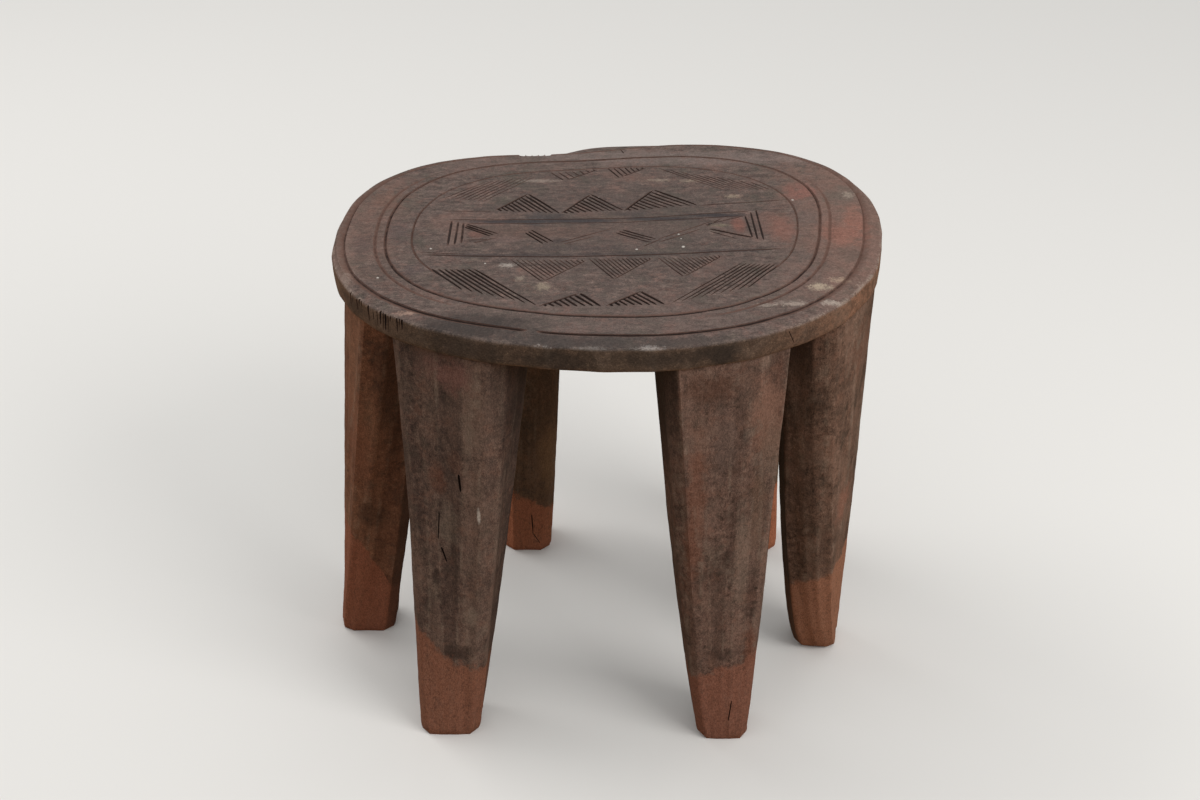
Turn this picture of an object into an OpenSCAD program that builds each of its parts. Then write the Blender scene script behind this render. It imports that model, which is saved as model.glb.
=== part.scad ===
// Low table hewn from one block of hardwood: an oval slab on six tapering legs,
// with ring grooves and rows of hatched triangles cut into the top.
// Millimetres, +Z up, front towards -Y. The origin is on the floor,
// under the middle of the whole table's box.

/* [Top] */
// Width of the top, end to end, before it is hewn out of true
top_w = 460; // [400:5:540]
// Depth of the top, front to back, before it is hewn out of true
top_d = 375; // [330:5:430]
// Height of the table
table_h = 414; // [320:2:500]
// Thickness of the slab at its middle
slab_t = 24; // [18:1:40]
// Squareness of the outline: 2 is an ellipse, more is squarer
squareness = 2.35; // [2:0.05:3]
// How far the back of the outline slides to the right, for each mm of depth
lean = 0.07; // [0:0.01:0.15]
// How far the three fuller shoulders of the outline stand out
shoulder_out = 5; // [0:0.5:8]
// Direction of the first fuller shoulder, in degrees from the right end
shoulder_dir = 44; // [30:1:60]
// Depth of the flatter stretch at the back left
flat_in = 16; // [0:1:18]
// Direction of the flatter stretch, in degrees from the right end
flat_dir = 113; // [100:1:130]
// Spread of the flatter stretch towards the left end, in degrees
flat_spread_left = 20; // [12:1:30]
// Spread of the flatter stretch towards the right end, where it ends sooner
flat_spread_right = 10; // [6:1:30]

/* [Slab edge] */
// Drop of the worn rim band, from the flat field to the edge
rim_drop = 3; // [1:0.5:5]
// Rounding of the upper edge
edge_round = 2; // [1:0.5:3]
// How far the underside edge is cut back
under_in = 2; // [1:0.5:6]
// Height of that cut
under_h = 4; // [2:0.5:8]

/* [Ring grooves] */
// Width of the outer ring groove
outer_groove_w = 5; // [2:0.5:7]
// Depth of the outer ring groove
outer_groove_d = 2.5; // [1:0.5:5]
// Width of the two inner ring grooves
inner_groove_w = 2.5; // [1:0.5:4]
// Depth of the two inner ring grooves
inner_groove_d = 2; // [0.5:0.5:4]
// Outer ring, from the ends of the top
outer_ring_side = 12.5; // [10:0.5:20]
// Outer ring, from the front of the top
outer_ring_front = 19.5; // [14:0.5:26]
// Outer ring, from the back of the top
outer_ring_back = 9; // [8:0.5:16]
// Middle ring, from the ends of the top
middle_ring_side = 48; // [40:1:60]
// Middle ring, from the front of the top
middle_ring_front = 46; // [40:1:56]
// Middle ring, from the back of the top
middle_ring_back = 33; // [26:1:44]
// Inner ring, from the ends of the top
inner_ring_side = 68; // [62:1:80]
// Inner ring, from the front of the top, where it is left open
inner_ring_front = 68; // [60:1:80]
// Inner ring, from the back of the top
inner_ring_back = 55; // [48:1:66]
// Angle where the open inner ring starts, at the right front
inner_ring_from = -22; // [-40:1:0]
// Angle where it ends, at the left front
inner_ring_to = 200; // [180:1:220]

/* [Hatched carving] */
// Width of one cut stroke
stroke_w = 1.6; // [0.8:0.1:3]
// Depth of one cut stroke
stroke_d = 1.5; // [0.5:0.1:3]
// Wood left standing between two strokes that point at one corner
tip_gap = 2.5; // [1:0.5:5]
// Upper band line, behind the middle of the top
upper_line = 46; // [30:1:60]
// Lower band line, in front of the middle of the top
lower_line = 40; // [30:1:55]
// Slope of the band lines, rising to the right, in degrees
line_slope = 3; // [0:0.5:6]
// Width of one triangle in the two long rows
triangle_w = 57; // [40:1:70]
// Height of the triangles behind the upper line
back_triangle_h = 34; // [20:1:44]
// Height of the triangles in front of the lower line
front_triangle_h = 40; // [20:1:48]
// Strokes in each triangle of the two long rows
triangle_strokes = 9; // [5:1:12]
// Triangles in each of the two long rows
row_count = 3; // [1:1:4]
// Width of one triangle in the short rows at the front and the back
small_w = 46; // [30:1:56]
// Height of the triangles in the short rows
small_h = 20; // [12:1:28]
// Strokes in each triangle of the short rows
small_strokes = 7; // [4:1:9]
// Front row, from the middle ring
front_row_gap = 12; // [6:1:20]
// Width of the broad end of a spear-shaped fan of strokes
spear_w = 31; // [16:1:40]
// Length of a spear across the top
spear_run = 88; // [60:1:110]
// Strokes in each spear
spear_strokes = 7; // [4:1:10]
// How far the tip of a back spear lies inside the back of the inner ring
back_spear_in = 5; // [3:0.5:12]
// Width of the tip of a back spear
back_spear_tip = 15; // [6:1:24]
// How far the broad end of a back spear lies in front of its tip
back_spear_drop = 43; // [30:1:56]
// How much further in front the inner corner of that end lies
back_spear_slant = 8; // [0:1:16]
// Height of the plain panel in the middle
panel_h = 46; // [30:1:60]
// Ends of the panel, from the ends of the inner ring
panel_side = 30; // [20:1:60]
// Upright bars at each end of the panel
bar_count = 3; // [1:1:4]
// Spacing of those bars
bar_gap = 5.5; // [4:0.5:9]

/* [Front left leg] */
// Direction of the leg's head under the rim, in degrees from the right end
front_left_dir = 232; // [226:1:236]
// Width of the leg's head along the rim
front_left_head_w = 113; // [80:1:116]
// Thickness of the leg's head, inwards from the rim
front_left_head_t = 58; // [40:1:70]
// How far the leg's head keeps inside the slab's underside edge
front_left_head_inset = 2; // [0.5:0.5:10]
// Taper: 1 is straight, more is slimmer, less is fuller
front_left_taper = 0.9; // [0.6:0.05:1.5]
// Direction of the foot
front_left_foot_dir = 227; // [222:1:234]
// How far inside the rim the middle of the foot stands
front_left_foot_in = 12; // [0:1:40]
// Width of the foot
front_left_foot_w = 53; // [40:1:64]
// Thickness of the foot, front to back
front_left_foot_t = 44; // [34:1:54]

/* [Front right leg] */
// Direction of the leg's head under the rim, in degrees from the right end
front_right_dir = 301; // [296:1:306]
// Width of the leg's head along the rim
front_right_head_w = 109; // [80:1:114]
// Thickness of the leg's head, inwards from the rim
front_right_head_t = 64; // [40:1:70]
// How far the leg's head keeps inside the slab's underside edge
front_right_head_inset = 1; // [0.5:0.5:10]
// Taper: 1 is straight, more is slimmer, less is fuller
front_right_taper = 0.8; // [0.6:0.05:1.5]
// Direction of the foot
front_right_foot_dir = 306; // [300:1:312]
// How far inside the rim the middle of the foot stands
front_right_foot_in = 24; // [0:1:40]
// Width of the foot
front_right_foot_w = 44; // [40:1:64]
// Thickness of the foot, front to back
front_right_foot_t = 44; // [34:1:54]

/* [Left leg] */
// Direction of the leg's head under the rim, in degrees from the right end
left_dir = 198; // [188:1:201]
// Width of the leg's head along the rim
left_head_w = 94; // [80:1:104]
// Thickness of the leg's head, inwards from the rim
left_head_t = 60; // [40:1:70]
// How far the leg's head keeps inside the slab's underside edge
left_head_inset = 7; // [0.5:0.5:10]
// Taper: 1 is straight, more is slimmer, less is fuller
left_taper = 1; // [0.6:0.05:1.5]
// Direction of the foot
left_foot_dir = 181; // [174:1:188]
// How far inside the rim the middle of the foot stands
left_foot_in = 1; // [0:1:40]
// Width of the foot
left_foot_w = 41; // [40:1:64]
// Thickness of the foot, end to middle
left_foot_t = 50; // [34:1:54]

/* [Right leg] */
// Direction of the leg's head under the rim, in degrees from the right end
right_dir = 339; // [336:1:352]
// Width of the leg's head along the rim
right_head_w = 112; // [80:1:114]
// Thickness of the leg's head, inwards from the rim
right_head_t = 58; // [40:1:70]
// How far the leg's head keeps inside the slab's underside edge
right_head_inset = 0.5; // [0.5:0.5:10]
// Taper: 1 is straight, more is slimmer, less is fuller
right_taper = 0.6; // [0.5:0.05:1.5]
// Direction of the foot
right_foot_dir = 352; // [346:1:358]
// How far inside the rim the middle of the foot stands
right_foot_in = 27; // [0:1:40]
// Width of the foot
right_foot_w = 38; // [34:1:58]
// Thickness of the foot, end to middle
right_foot_t = 37; // [34:1:54]

/* [Back left leg] */
// Direction of the leg's head under the rim, in degrees from the right end
back_left_dir = 126; // [120:1:132]
// Width of the leg's head along the rim
back_left_head_w = 90; // [76:1:100]
// Thickness of the leg's head, inwards from the rim
back_left_head_t = 60; // [40:1:70]
// How far the leg's head keeps inside the slab's underside edge
back_left_head_inset = 2; // [0.5:0.5:10]
// Taper: 1 is straight, more is slimmer, less is fuller
back_left_taper = 1; // [0.6:0.05:1.5]
// Direction of the foot
back_left_foot_dir = 127; // [120:1:134]
// How far inside the rim the middle of the foot stands
back_left_foot_in = 39; // [10:1:60]
// Width of the foot
back_left_foot_w = 47; // [40:1:64]
// Thickness of the foot, front to back
back_left_foot_t = 44; // [34:1:54]

/* [Back right leg] */
// Direction of the leg's head under the rim, in degrees from the right end
back_right_dir = 50; // [44:1:56]
// Width of the leg's head along the rim
back_right_head_w = 96; // [76:1:104]
// Thickness of the leg's head, inwards from the rim
back_right_head_t = 60; // [40:1:70]
// How far the leg's head keeps inside the slab's underside edge
back_right_head_inset = 2; // [0.5:0.5:10]
// Taper: 1 is straight, more is slimmer, less is fuller
back_right_taper = 1.1; // [0.6:0.05:1.5]
// Direction of the foot
back_right_foot_dir = 42; // [36:1:50]
// How far inside the rim the middle of the foot stands
back_right_foot_in = 37; // [10:1:60]
// Width of the foot
back_right_foot_w = 48; // [40:1:64]
// Thickness of the foot, front to back
back_right_foot_t = 44; // [34:1:54]

/* [Hidden] */

// Colours of the sooty top and of the redder legs
top_colour = [0.38, 0.31, 0.28];
leg_colour = [0.33, 0.23, 0.19];

// Points round the outline, and levels up a leg
outline_steps = 72;
leg_levels = 8;

// Heights of the slab's underside and of the lowest point of its carved face
under_z = table_h - slab_t;
edge_z = table_h - rim_drop;

// Directions in which the feet are squared off
facing_front = 270;
facing_back = 90;
facing_left = 180;
facing_right = 356;

// Room that a cutter needs above the face that it cuts
above = 2;

// Length of a stroke's pointed end, in widths of the stroke
point_widths = 3;

// Section of a leg's head: share of its half width, share of its thickness inwards
head_section = [
    [-0.8, 0], [-0.27, 0], [0.27, 0], [0.8, 0], [1, 0.22],
    [1, 0.75], [0.65, 1], [-0.65, 1], [-1, 0.75], [-1, 0.22]
];
// Section of a foot: share of its half width, share of its half thickness outwards
foot_section = [
    [-0.72, 1], [-0.25, 1.05], [0.25, 1.05], [0.72, 1], [1, 0.6],
    [1, -0.6], [0.6, -1], [-0.6, -1], [-1, -0.6], [-1, 0.6]
];
section_count = len(head_section);

// Smallest turn from one direction to another, in degrees
function turn_between(a, b) = let(d = (a - b) % 360) d > 180 ? d - 360 : d < -180 ? d + 360 : d;

// Radius of the squared oval with the given half sizes
function oval_radius(half_w, half_d, dir) =
    pow(pow(abs(cos(dir)) / half_w, squareness) + pow(abs(sin(dir)) / half_d, squareness), -1 / squareness);

// How far the carver's outline stands out from that oval
function hewn(dir) = shoulder_out * cos(3 * (dir - shoulder_dir))
    - flat_in * exp(-pow(turn_between(dir, flat_dir) / flat_spread(dir), 2));

// The flatter stretch ends sooner towards the right end
function flat_spread(dir) = turn_between(dir, flat_dir) > 0 ? flat_spread_left : flat_spread_right;

// Point of an outline in the family of the rim: share is how much of the hewing it follows
function oval_point(half_w, half_d, dir, share = 1) =
    let(r = oval_radius(half_w, half_d, dir) + share * hewn(dir))
    [r * cos(dir) + lean * r * sin(dir), r * sin(dir)];

// Point of the rim, moved inwards
function rim_point(dir, inwards = 0) = oval_point(top_w / 2 - inwards, top_d / 2 - inwards, dir);

// Outline of the rim, moved inwards
function rim_outline(inwards = 0) =
    [for (i = [0 : outline_steps - 1]) rim_point(i * 360 / outline_steps, inwards)];

// Outline of a ring set in from the ends, the front and the back of the top
function ring_outline(side, front, back, inwards, share, turn = 0) =
    let(shift = (front - back) / 2, half_d = (top_d - front - back) / 2 - inwards)
    [for (i = [0 : outline_steps - 1])
        oval_point(top_w / 2 - side - inwards, half_d, (i + turn) * 360 / outline_steps, share) + [0, shift]];

function raised(points, z) = [for (p = points) [p.x, p.y, z]];

// Outline of a foot on the floor
function foot_outline(dir, inwards, w, t, facing) =
    let(middle = rim_point(dir, inwards), out = [cos(facing), sin(facing)], along = [-sin(facing), cos(facing)])
    [for (s = foot_section) middle + s[0] * w / 2 * along + s[1] * t / 2 * out];

// Outline of a leg's head against the underside
function head_outline(dir, w, t, inset) =
    let(inwards = under_in + inset, spread = w / 2 / norm(rim_point(dir, inwards)) * 180 / PI)
    [for (s = head_section) rim_point(dir + s[0] * spread, inwards + s[1] * t)];

front_left_foot = foot_outline(front_left_foot_dir, front_left_foot_in,
    front_left_foot_w, front_left_foot_t, facing_front);
front_right_foot = foot_outline(front_right_foot_dir, front_right_foot_in,
    front_right_foot_w, front_right_foot_t, facing_front);
left_foot = foot_outline(left_foot_dir, left_foot_in, left_foot_w, left_foot_t, facing_left);
right_foot = foot_outline(right_foot_dir, right_foot_in, right_foot_w, right_foot_t, facing_right);
back_left_foot = foot_outline(back_left_foot_dir, back_left_foot_in,
    back_left_foot_w, back_left_foot_t, facing_back);
back_right_foot = foot_outline(back_right_foot_dir, back_right_foot_in,
    back_right_foot_w, back_right_foot_t, facing_back);

// The box of the whole table in plan, whose middle is the origin
reach = concat(rim_outline(), front_left_foot, front_right_foot, left_foot, right_foot,
    back_left_foot, back_right_foot);
middle_x = (min([for (p = reach) p.x]) + max([for (p = reach) p.x])) / 2;
middle_y = (min([for (p = reach) p.y]) + max([for (p = reach) p.y])) / 2;

// Closed skin through a stack of outlines that have the same number of points
module skin(outlines) {
    n = len(outlines[0]);
    last = len(outlines) - 1;
    sides = [for (k = [0 : last - 1], i = [0 : n - 1], half = [0, 1])
        let(a = k * n + i, b = k * n + (i + 1) % n)
        half == 0 ? [a, a + n, b] : [b, a + n, b + n]];
    bottom = [[for (i = [0 : n - 1]) i]];
    lid = [[for (i = [n - 1 : -1 : 0]) last * n + i]];
    polyhedron([for (o = outlines, p = o) p], concat(bottom, sides, lid));
}

module slab() {
    field = ring_outline(outer_ring_side, outer_ring_front, outer_ring_back, 0, 1);
    skin([
        raised(rim_outline(under_in), under_z),
        raised(rim_outline(), under_z + under_h),
        raised(rim_outline(), edge_z - edge_round),
        raised(rim_outline(edge_round), edge_z),
        raised(field, table_h)
    ]);
}

// Groove that runs all the way round; its corners lie between those of the slab
module ring_groove(side, front, back, w, d, share) {
    translate([0, 0, table_h - d])
        linear_extrude(d + above)
            difference() {
                polygon(ring_outline(side, front, back, -w / 2, share, 0.5));
                polygon(ring_outline(side, front, back, w / 2, share, 0.5));
            }
}

// The innermost groove stops short at the front, like an open collar
module open_ring_groove() {
    half_w = top_w / 2 - inner_ring_side;
    half_d = (top_d - inner_ring_front - inner_ring_back) / 2;
    shift = [0, (inner_ring_front - inner_ring_back) / 2];
    step = 360 / outline_steps;
    dirs = [for (a = [inner_ring_from : step : inner_ring_to]) a];
    wall = inner_groove_w / 2;
    outside = [for (a = dirs) oval_point(half_w + wall, half_d + wall, a, ring_hewing) + shift];
    inside = [for (a = dirs) oval_point(half_w - wall, half_d - wall, a, ring_hewing) + shift];
    count = len(dirs);
    translate([0, 0, table_h - inner_groove_d])
        linear_extrude(inner_groove_d + above)
            polygon(concat(outside, [for (i = [count - 1 : -1 : 0]) inside[i]]));
}

// The inner rings follow only part of the rim's hewing
ring_hewing = 0.5;

// One pointed cut of the gouge, from one place on the top to another
module stroke(from, to, w = stroke_w) {
    along = to - from;
    length = norm(along);
    shoulder = min(length / 3, point_widths * w);
    translate([from.x, from.y, table_h - stroke_d])
        rotate([0, 0, atan2(along.y, along.x)])
            linear_extrude(stroke_d + above)
                polygon([
                    [0, 0], [shoulder, -w / 2], [length - shoulder, -w / 2],
                    [length, 0], [length - shoulder, w / 2], [shoulder, w / 2]
                ]);
}

// Strokes that run side by side between two edges
module fan(from_a, from_b, to_a, to_b, strokes) {
    for (i = [0 : strokes - 1]) {
        f = i / (strokes - 1);
        stroke(from_a + f * (from_b - from_a), to_a + f * (to_b - to_a));
    }
}

// Triangle filled with strokes that are parallel to its side from apex to far corner
module hatched_triangle(near, apex, far, strokes) {
    for (i = [1 : strokes])
        stroke(near + i / strokes * (apex - near), near + i / strokes * (far - near));
}

// Row of hatched triangles on a sloping base line; a negative height hangs them below it
module triangle_row(y, w, h, count, strokes, slope) {
    rise = tan(slope);
    for (i = [0 : count - 1]) {
        left = (i - count / 2) * w;
        near = [left, y + rise * left];
        far = [left + w, y + rise * (left + w)];
        apex = (near + far) / 2 + [0, h];
        if (h > 0) hatched_triangle(near, apex, far, strokes);
        else hatched_triangle(far, apex, near, strokes);
    }
}

ring_half_w = top_w / 2 - inner_ring_side;
inner_back_y = top_d / 2 - inner_ring_back;
front_row_y = -top_d / 2 + middle_ring_front + front_row_gap;
panel_half_w = ring_half_w - panel_side;
panel_y = (upper_line - lower_line) / 2;
spear_top_y = -lower_line - front_triangle_h / 2;
spear_out_x = ring_half_w - panel_side / 2;

module band_lines() {
    reach_x = ring_half_w - inner_groove_w;
    rise = reach_x * tan(line_slope);
    stroke([-reach_x, upper_line - rise], [reach_x, upper_line + rise]);
    stroke([-reach_x, -lower_line - rise], [reach_x, -lower_line + rise]);
}

// Plain panel between the bands, with upright bars and three pointed teeth at its ends
module panel() {
    top_y = panel_y + panel_h / 2;
    low_y = panel_y - panel_h / 2;
    stroke([-panel_half_w, top_y], [panel_half_w, top_y], 2 * stroke_w);
    for (side = [-1, 1]) {
        for (i = [0 : bar_count - 1]) {
            x = side * (panel_half_w - i * bar_gap);
            stroke([x, low_y], [x, top_y - stroke_w - tip_gap]);
        }
        edge_x = side * (panel_half_w - bar_count * bar_gap);
        tooth_x = edge_x - side * triangle_w / 2;
        stroke([edge_x, top_y - stroke_w - tip_gap], [tooth_x, panel_y + tip_gap / 2]);
        stroke([edge_x, low_y + tip_gap], [tooth_x + side * tip_gap, panel_y - tip_gap / 2]);
    }
    for (side = [-1, 1])
        fan([side * triangle_w, panel_y + bar_gap], [side * triangle_w - bar_gap, panel_y + bar_gap],
            [side * triangle_w / 2, low_y + bar_gap], [side * triangle_w / 2 - bar_gap, low_y + bar_gap], 2);
}

// Fans of strokes that narrow to a point, either side of the short rows
module spears() {
    tip_x = small_w + front_row_gap / 2;
    end_x = tip_x + spear_run;
    tail_y = front_row_y + small_h;
    tip_y = inner_back_y - back_spear_in;
    end_y = tip_y - back_spear_drop;
    for (side = [-1, 1]) {
        fan([side * (spear_out_x - spear_w), spear_top_y], [side * spear_out_x, spear_top_y],
            [side * tip_x, front_row_y], [side * (spear_out_x - spear_w / 2), tail_y], spear_strokes);
        fan([side * end_x, end_y], [side * (end_x - spear_w), end_y - back_spear_slant],
            [side * tip_x, tip_y], [side * tip_x, tip_y - back_spear_tip], spear_strokes);
    }
}

module top() {
    color(top_colour)
        translate([-middle_x, -middle_y, 0])
            difference() {
                slab();
                ring_groove(outer_ring_side, outer_ring_front, outer_ring_back,
                    outer_groove_w, outer_groove_d, 1);
                ring_groove(middle_ring_side, middle_ring_front, middle_ring_back,
                    inner_groove_w, inner_groove_d, ring_hewing);
                open_ring_groove();
                band_lines();
                panel();
                triangle_row(upper_line + stroke_w, triangle_w, back_triangle_h, row_count,
                    triangle_strokes, line_slope);
                triangle_row(-lower_line - stroke_w, triangle_w, -front_triangle_h, row_count,
                    triangle_strokes, line_slope);
                triangle_row(front_row_y, small_w, small_h, 2, small_strokes, 0);
                triangle_row(inner_back_y - inner_groove_w, small_w, -small_h, 2, small_strokes, 0);
                spears();
            }
}

// Leg that grows from its foot to its head; the taper sets how soon it widens
module leg(foot, taper, head) {
    color(leg_colour)
        translate([-middle_x, -middle_y, 0])
            skin([for (k = [0 : leg_levels])
                let(t = k / leg_levels, s = pow(t, taper))
                [for (i = [0 : section_count - 1])
                    let(p = foot[i] * (1 - s) + head[i] * s)
                    [p.x, p.y, t * under_z]]]);
}

module leg_front_left() {
    leg(front_left_foot, front_left_taper,
        head_outline(front_left_dir, front_left_head_w, front_left_head_t, front_left_head_inset));
}

module leg_front_right() {
    leg(front_right_foot, front_right_taper,
        head_outline(front_right_dir, front_right_head_w, front_right_head_t, front_right_head_inset));
}

module leg_left() {
    leg(left_foot, left_taper,
        head_outline(left_dir, left_head_w, left_head_t, left_head_inset));
}

module leg_right() {
    leg(right_foot, right_taper,
        head_outline(right_dir, right_head_w, right_head_t, right_head_inset));
}

module leg_back_left() {
    leg(back_left_foot, back_left_taper,
        head_outline(back_left_dir, back_left_head_w, back_left_head_t, back_left_head_inset));
}

module leg_back_right() {
    leg(back_right_foot, back_right_taper,
        head_outline(back_right_dir, back_right_head_w, back_right_head_t, back_right_head_inset));
}

top();
leg_front_left();
leg_front_right();
leg_left();
leg_right();
leg_back_left();
leg_back_right();
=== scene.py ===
# %% [markdown]
# # A carved low table, hewn from one block of wood
#
# The real table is one piece: a carver shaped an oval slab and six tapering legs out of a
# single log with an adze, and then cut ring grooves and rows of hatched triangles into the
# top with a small gouge. The frame that this lesson starts from holds the right sizes. Each
# step below replaces one of its plain bodies with a hewn and carved one in the same place.
# Everything is in metres, with +Z up and the front of the table towards -Y.

# %% Load the frame
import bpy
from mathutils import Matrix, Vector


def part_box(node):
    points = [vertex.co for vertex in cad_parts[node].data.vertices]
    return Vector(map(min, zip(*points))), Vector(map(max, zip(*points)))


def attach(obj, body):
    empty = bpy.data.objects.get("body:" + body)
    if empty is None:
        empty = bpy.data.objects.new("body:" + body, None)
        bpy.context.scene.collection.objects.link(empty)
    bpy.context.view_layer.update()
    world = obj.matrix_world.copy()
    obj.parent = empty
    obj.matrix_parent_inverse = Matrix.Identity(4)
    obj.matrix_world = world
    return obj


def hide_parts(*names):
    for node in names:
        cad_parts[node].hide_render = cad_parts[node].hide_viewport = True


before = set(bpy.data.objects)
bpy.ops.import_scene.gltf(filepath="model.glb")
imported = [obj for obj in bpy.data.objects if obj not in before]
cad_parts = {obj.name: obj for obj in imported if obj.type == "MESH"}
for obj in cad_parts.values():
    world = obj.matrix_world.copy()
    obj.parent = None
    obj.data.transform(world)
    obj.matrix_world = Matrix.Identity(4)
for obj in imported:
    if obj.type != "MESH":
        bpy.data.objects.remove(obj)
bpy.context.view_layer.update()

# %% The tools of this lesson
import math
import random

import bmesh
import bpy
from mathutils import Matrix, Vector, bvhtree, noise

MM = 0.001
scene = bpy.context.scene

# %% [markdown]
# ## The camera
#
# The table is seen from the front and from above, as a standing person sees it, with a
# normal lens. The camera comes first, because every later step is judged through it. It
# looks 32 degrees down, so its turn about X is 90 degrees less that.

# %% Place the camera
CAMERA_PLACE = (3.8 * MM, -1263.9 * MM, 1044.5 * MM)
LOOK_DOWN = 32.2
LENS = 50.4
SENSOR_WIDTH = 36

camera = bpy.data.objects.new("camera", bpy.data.cameras.new("camera"))
camera.data.lens = LENS
camera.data.sensor_width = SENSOR_WIDTH
camera.location = CAMERA_PLACE
camera.rotation_euler = (math.radians(90 - LOOK_DOWN), 0, 0)
scene.collection.objects.link(camera)
scene.camera = camera
print("camera at", tuple(camera.location), "with a lens of", LENS, "mm")

# %% [markdown]
# ## Small helpers for node trees
#
# Materials, the floor and the sky are all node trees, so one helper places a node and joins
# its inputs. A number or colour goes into the socket, and another node's output is linked.
# Colours are written as a paint chart gives them and turned into linear light here.

# %% Helpers for nodes and colours
COLOUR_A, COLOUR_B, COLOUR_OUT = 6, 7, 2


def paint(red, green, blue):
    """A colour from a chart (0 to 255) as linear light."""
    return tuple(((c / 255 + 0.055) / 1.055) ** 2.4 for c in (red, green, blue)) + (1.0,)


def place_node(tree, kind, inputs=None, **settings):
    """Adds a node, sets its options, and fills or links its inputs."""
    made = tree.nodes.new(kind)
    for name, value in settings.items():
        setattr(made, name, value)
    for name, value in (inputs or {}).items():
        if isinstance(value, bpy.types.NodeSocket):
            tree.links.new(value, made.inputs[name])
        else:
            made.inputs[name].default_value = value
    return made


def object_place(tree):
    """The Object coordinates, which belong to the block of wood."""
    return place_node(tree, "ShaderNodeTexCoord").outputs["Object"]


def reckon(tree, operation, first, second=0.0, third=0.0):
    """The output of one Math node."""
    return place_node(tree, "ShaderNodeMath", {0: first, 1: second, 2: third}, operation=operation).outputs[0]


def weigh(tree, first, *others):
    """A sum of values, each given with its weight."""
    total = reckon(tree, "MULTIPLY", *first)
    for value, weight in others:
        total = reckon(tree, "MULTIPLY_ADD", value, weight, total)
    return total


def fade(tree, value, start, end, low=0.0, high=1.0):
    """A smooth ramp of a value between two limits."""
    return place_node(tree, "ShaderNodeMapRange", {
        "Value": value, "From Min": start, "From Max": end, "To Min": low, "To Max": high,
    }, interpolation_type="SMOOTHSTEP").outputs["Result"]


def tint(tree, mask, under, over, blend="MIX"):
    """Lays one colour over another where the mask is white."""
    return place_node(tree, "ShaderNodeMix", {0: mask, COLOUR_A: under, COLOUR_B: over},
                      data_type="RGBA", blend_type=blend).outputs[COLOUR_OUT]


def lay_tones(tree, colour, rows):
    """Lays tones over a colour; a row is a value, where it starts and ends, a share and a tone."""
    for value, start, end, share, tone in rows:
        colour = tint(tree, fade(tree, value, start, end, 0.0, share), colour, tone)
    return colour


print("helpers ready: a mid grey of 128 is", round(paint(128, 128, 128)[0], 3), "in linear light")

# %% [markdown]
# ## The floor and the light
#
# The table stands on a plain pale floor under soft studio light. A dark wooden object on a
# white floor would be lit strongly from below, so the floor is pale to the camera and of a
# straw colour to the light that it throws back, which keeps the shade between the legs deep.
# Light Path's Is Camera Ray tells the two apart.

# %% Lay the floor
FLOOR_SIZE = 60.0
FLOOR_PALE = paint(226, 223, 218)
FLOOR_BOUNCE = paint(160, 134, 104)
FLOOR_ROUGHNESS = 0.9
FLOOR_SPECULAR = 0.1

floor_mesh = bmesh.new()
bmesh.ops.create_grid(floor_mesh, x_segments=1, y_segments=1, size=FLOOR_SIZE / 2)
floor_data = bpy.data.meshes.new("floor")
floor_mesh.to_mesh(floor_data)
floor_mesh.free()
floor = bpy.data.objects.new("floor", floor_data)
scene.collection.objects.link(floor)

floor_look = bpy.data.materials.new("pale_floor")
floor_look.use_nodes = True
floor_tree = floor_look.node_tree
floor_shader = floor_tree.nodes["Principled BSDF"]
floor_shader.inputs["Roughness"].default_value = FLOOR_ROUGHNESS
floor_shader.inputs["Specular IOR Level"].default_value = FLOOR_SPECULAR
seen = place_node(floor_tree, "ShaderNodeLightPath").outputs["Is Camera Ray"]
floor_tree.links.new(tint(floor_tree, seen, FLOOR_BOUNCE, FLOOR_PALE), floor_shader.inputs["Base Color"])
floor_data.materials.append(floor_look)
print("floor", FLOOR_SIZE, "m square")

# %% [markdown]
# The sky is a dome that is bright overhead and dim at the horizon, like a courtyard under an
# open sky. Upright faces therefore get much less light than the top does, which is what makes
# the legs look darker than the top. In a world's tree, Generated is the direction that a ray
# looks in, so its Z is the height on the dome. Two large softboxes add a little direction.

# %% Hang the sky and the lights
SKY_OVERHEAD = 0.92
SKY_AT_HORIZON = 0.3
SKY_COLOUR = (0.97, 0.985, 1.0, 1.0)
TABLE_MIDDLE = Vector((0, 0, 0.25))
SOFTBOX_SIZE = 1.6

sky = bpy.data.worlds.new("soft_sky")
sky.use_nodes = True
sky_tree = sky.node_tree
sky_light = sky_tree.nodes["Background"]
sky_light.inputs["Color"].default_value = SKY_COLOUR
looking = place_node(sky_tree, "ShaderNodeTexCoord").outputs["Generated"]
look_up = place_node(sky_tree, "ShaderNodeSeparateXYZ", {0: looking}).outputs["Z"]
sky_strength = fade(sky_tree, look_up, 0.0, 1.0, SKY_AT_HORIZON, SKY_OVERHEAD)
sky_tree.links.new(sky_strength, sky_light.inputs["Strength"])
scene.world = sky
scene.view_settings.view_transform = "Standard"


def hang_softbox(name, place, power):
    """A square lamp that faces the table."""
    lamp = bpy.data.lights.new(name, "AREA")
    lamp.size = SOFTBOX_SIZE
    lamp.energy = power
    holder = bpy.data.objects.new(name, lamp)
    holder.location = place
    holder.rotation_euler = (TABLE_MIDDLE - Vector(place)).to_track_quat("-Z", "Y").to_euler()
    scene.collection.objects.link(holder)


hang_softbox("window_right", (1.9, -1.5, 2.0), 40)
hang_softbox("window_left", (-1.8, 0.9, 2.3), 22)

# %% [markdown]
# ## The hewn outline
#
# The top looks like an oval, but no carver's oval is true. Its outline is a squared oval
# that leans a little to the right at the back, stands out at three fuller shoulders, and has
# a flatter stretch at the back left that ends suddenly at a chip. The rim and the three ring
# grooves all belong to this one family, each with its own half sizes, because the carver
# followed the rim by eye. One function gives the place on any of them in any direction.

# %% The rule of the outline
LEAN = 0.07
SHOULDER_TURN = math.radians(44)
FLAT_TURN = math.radians(113)


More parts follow.
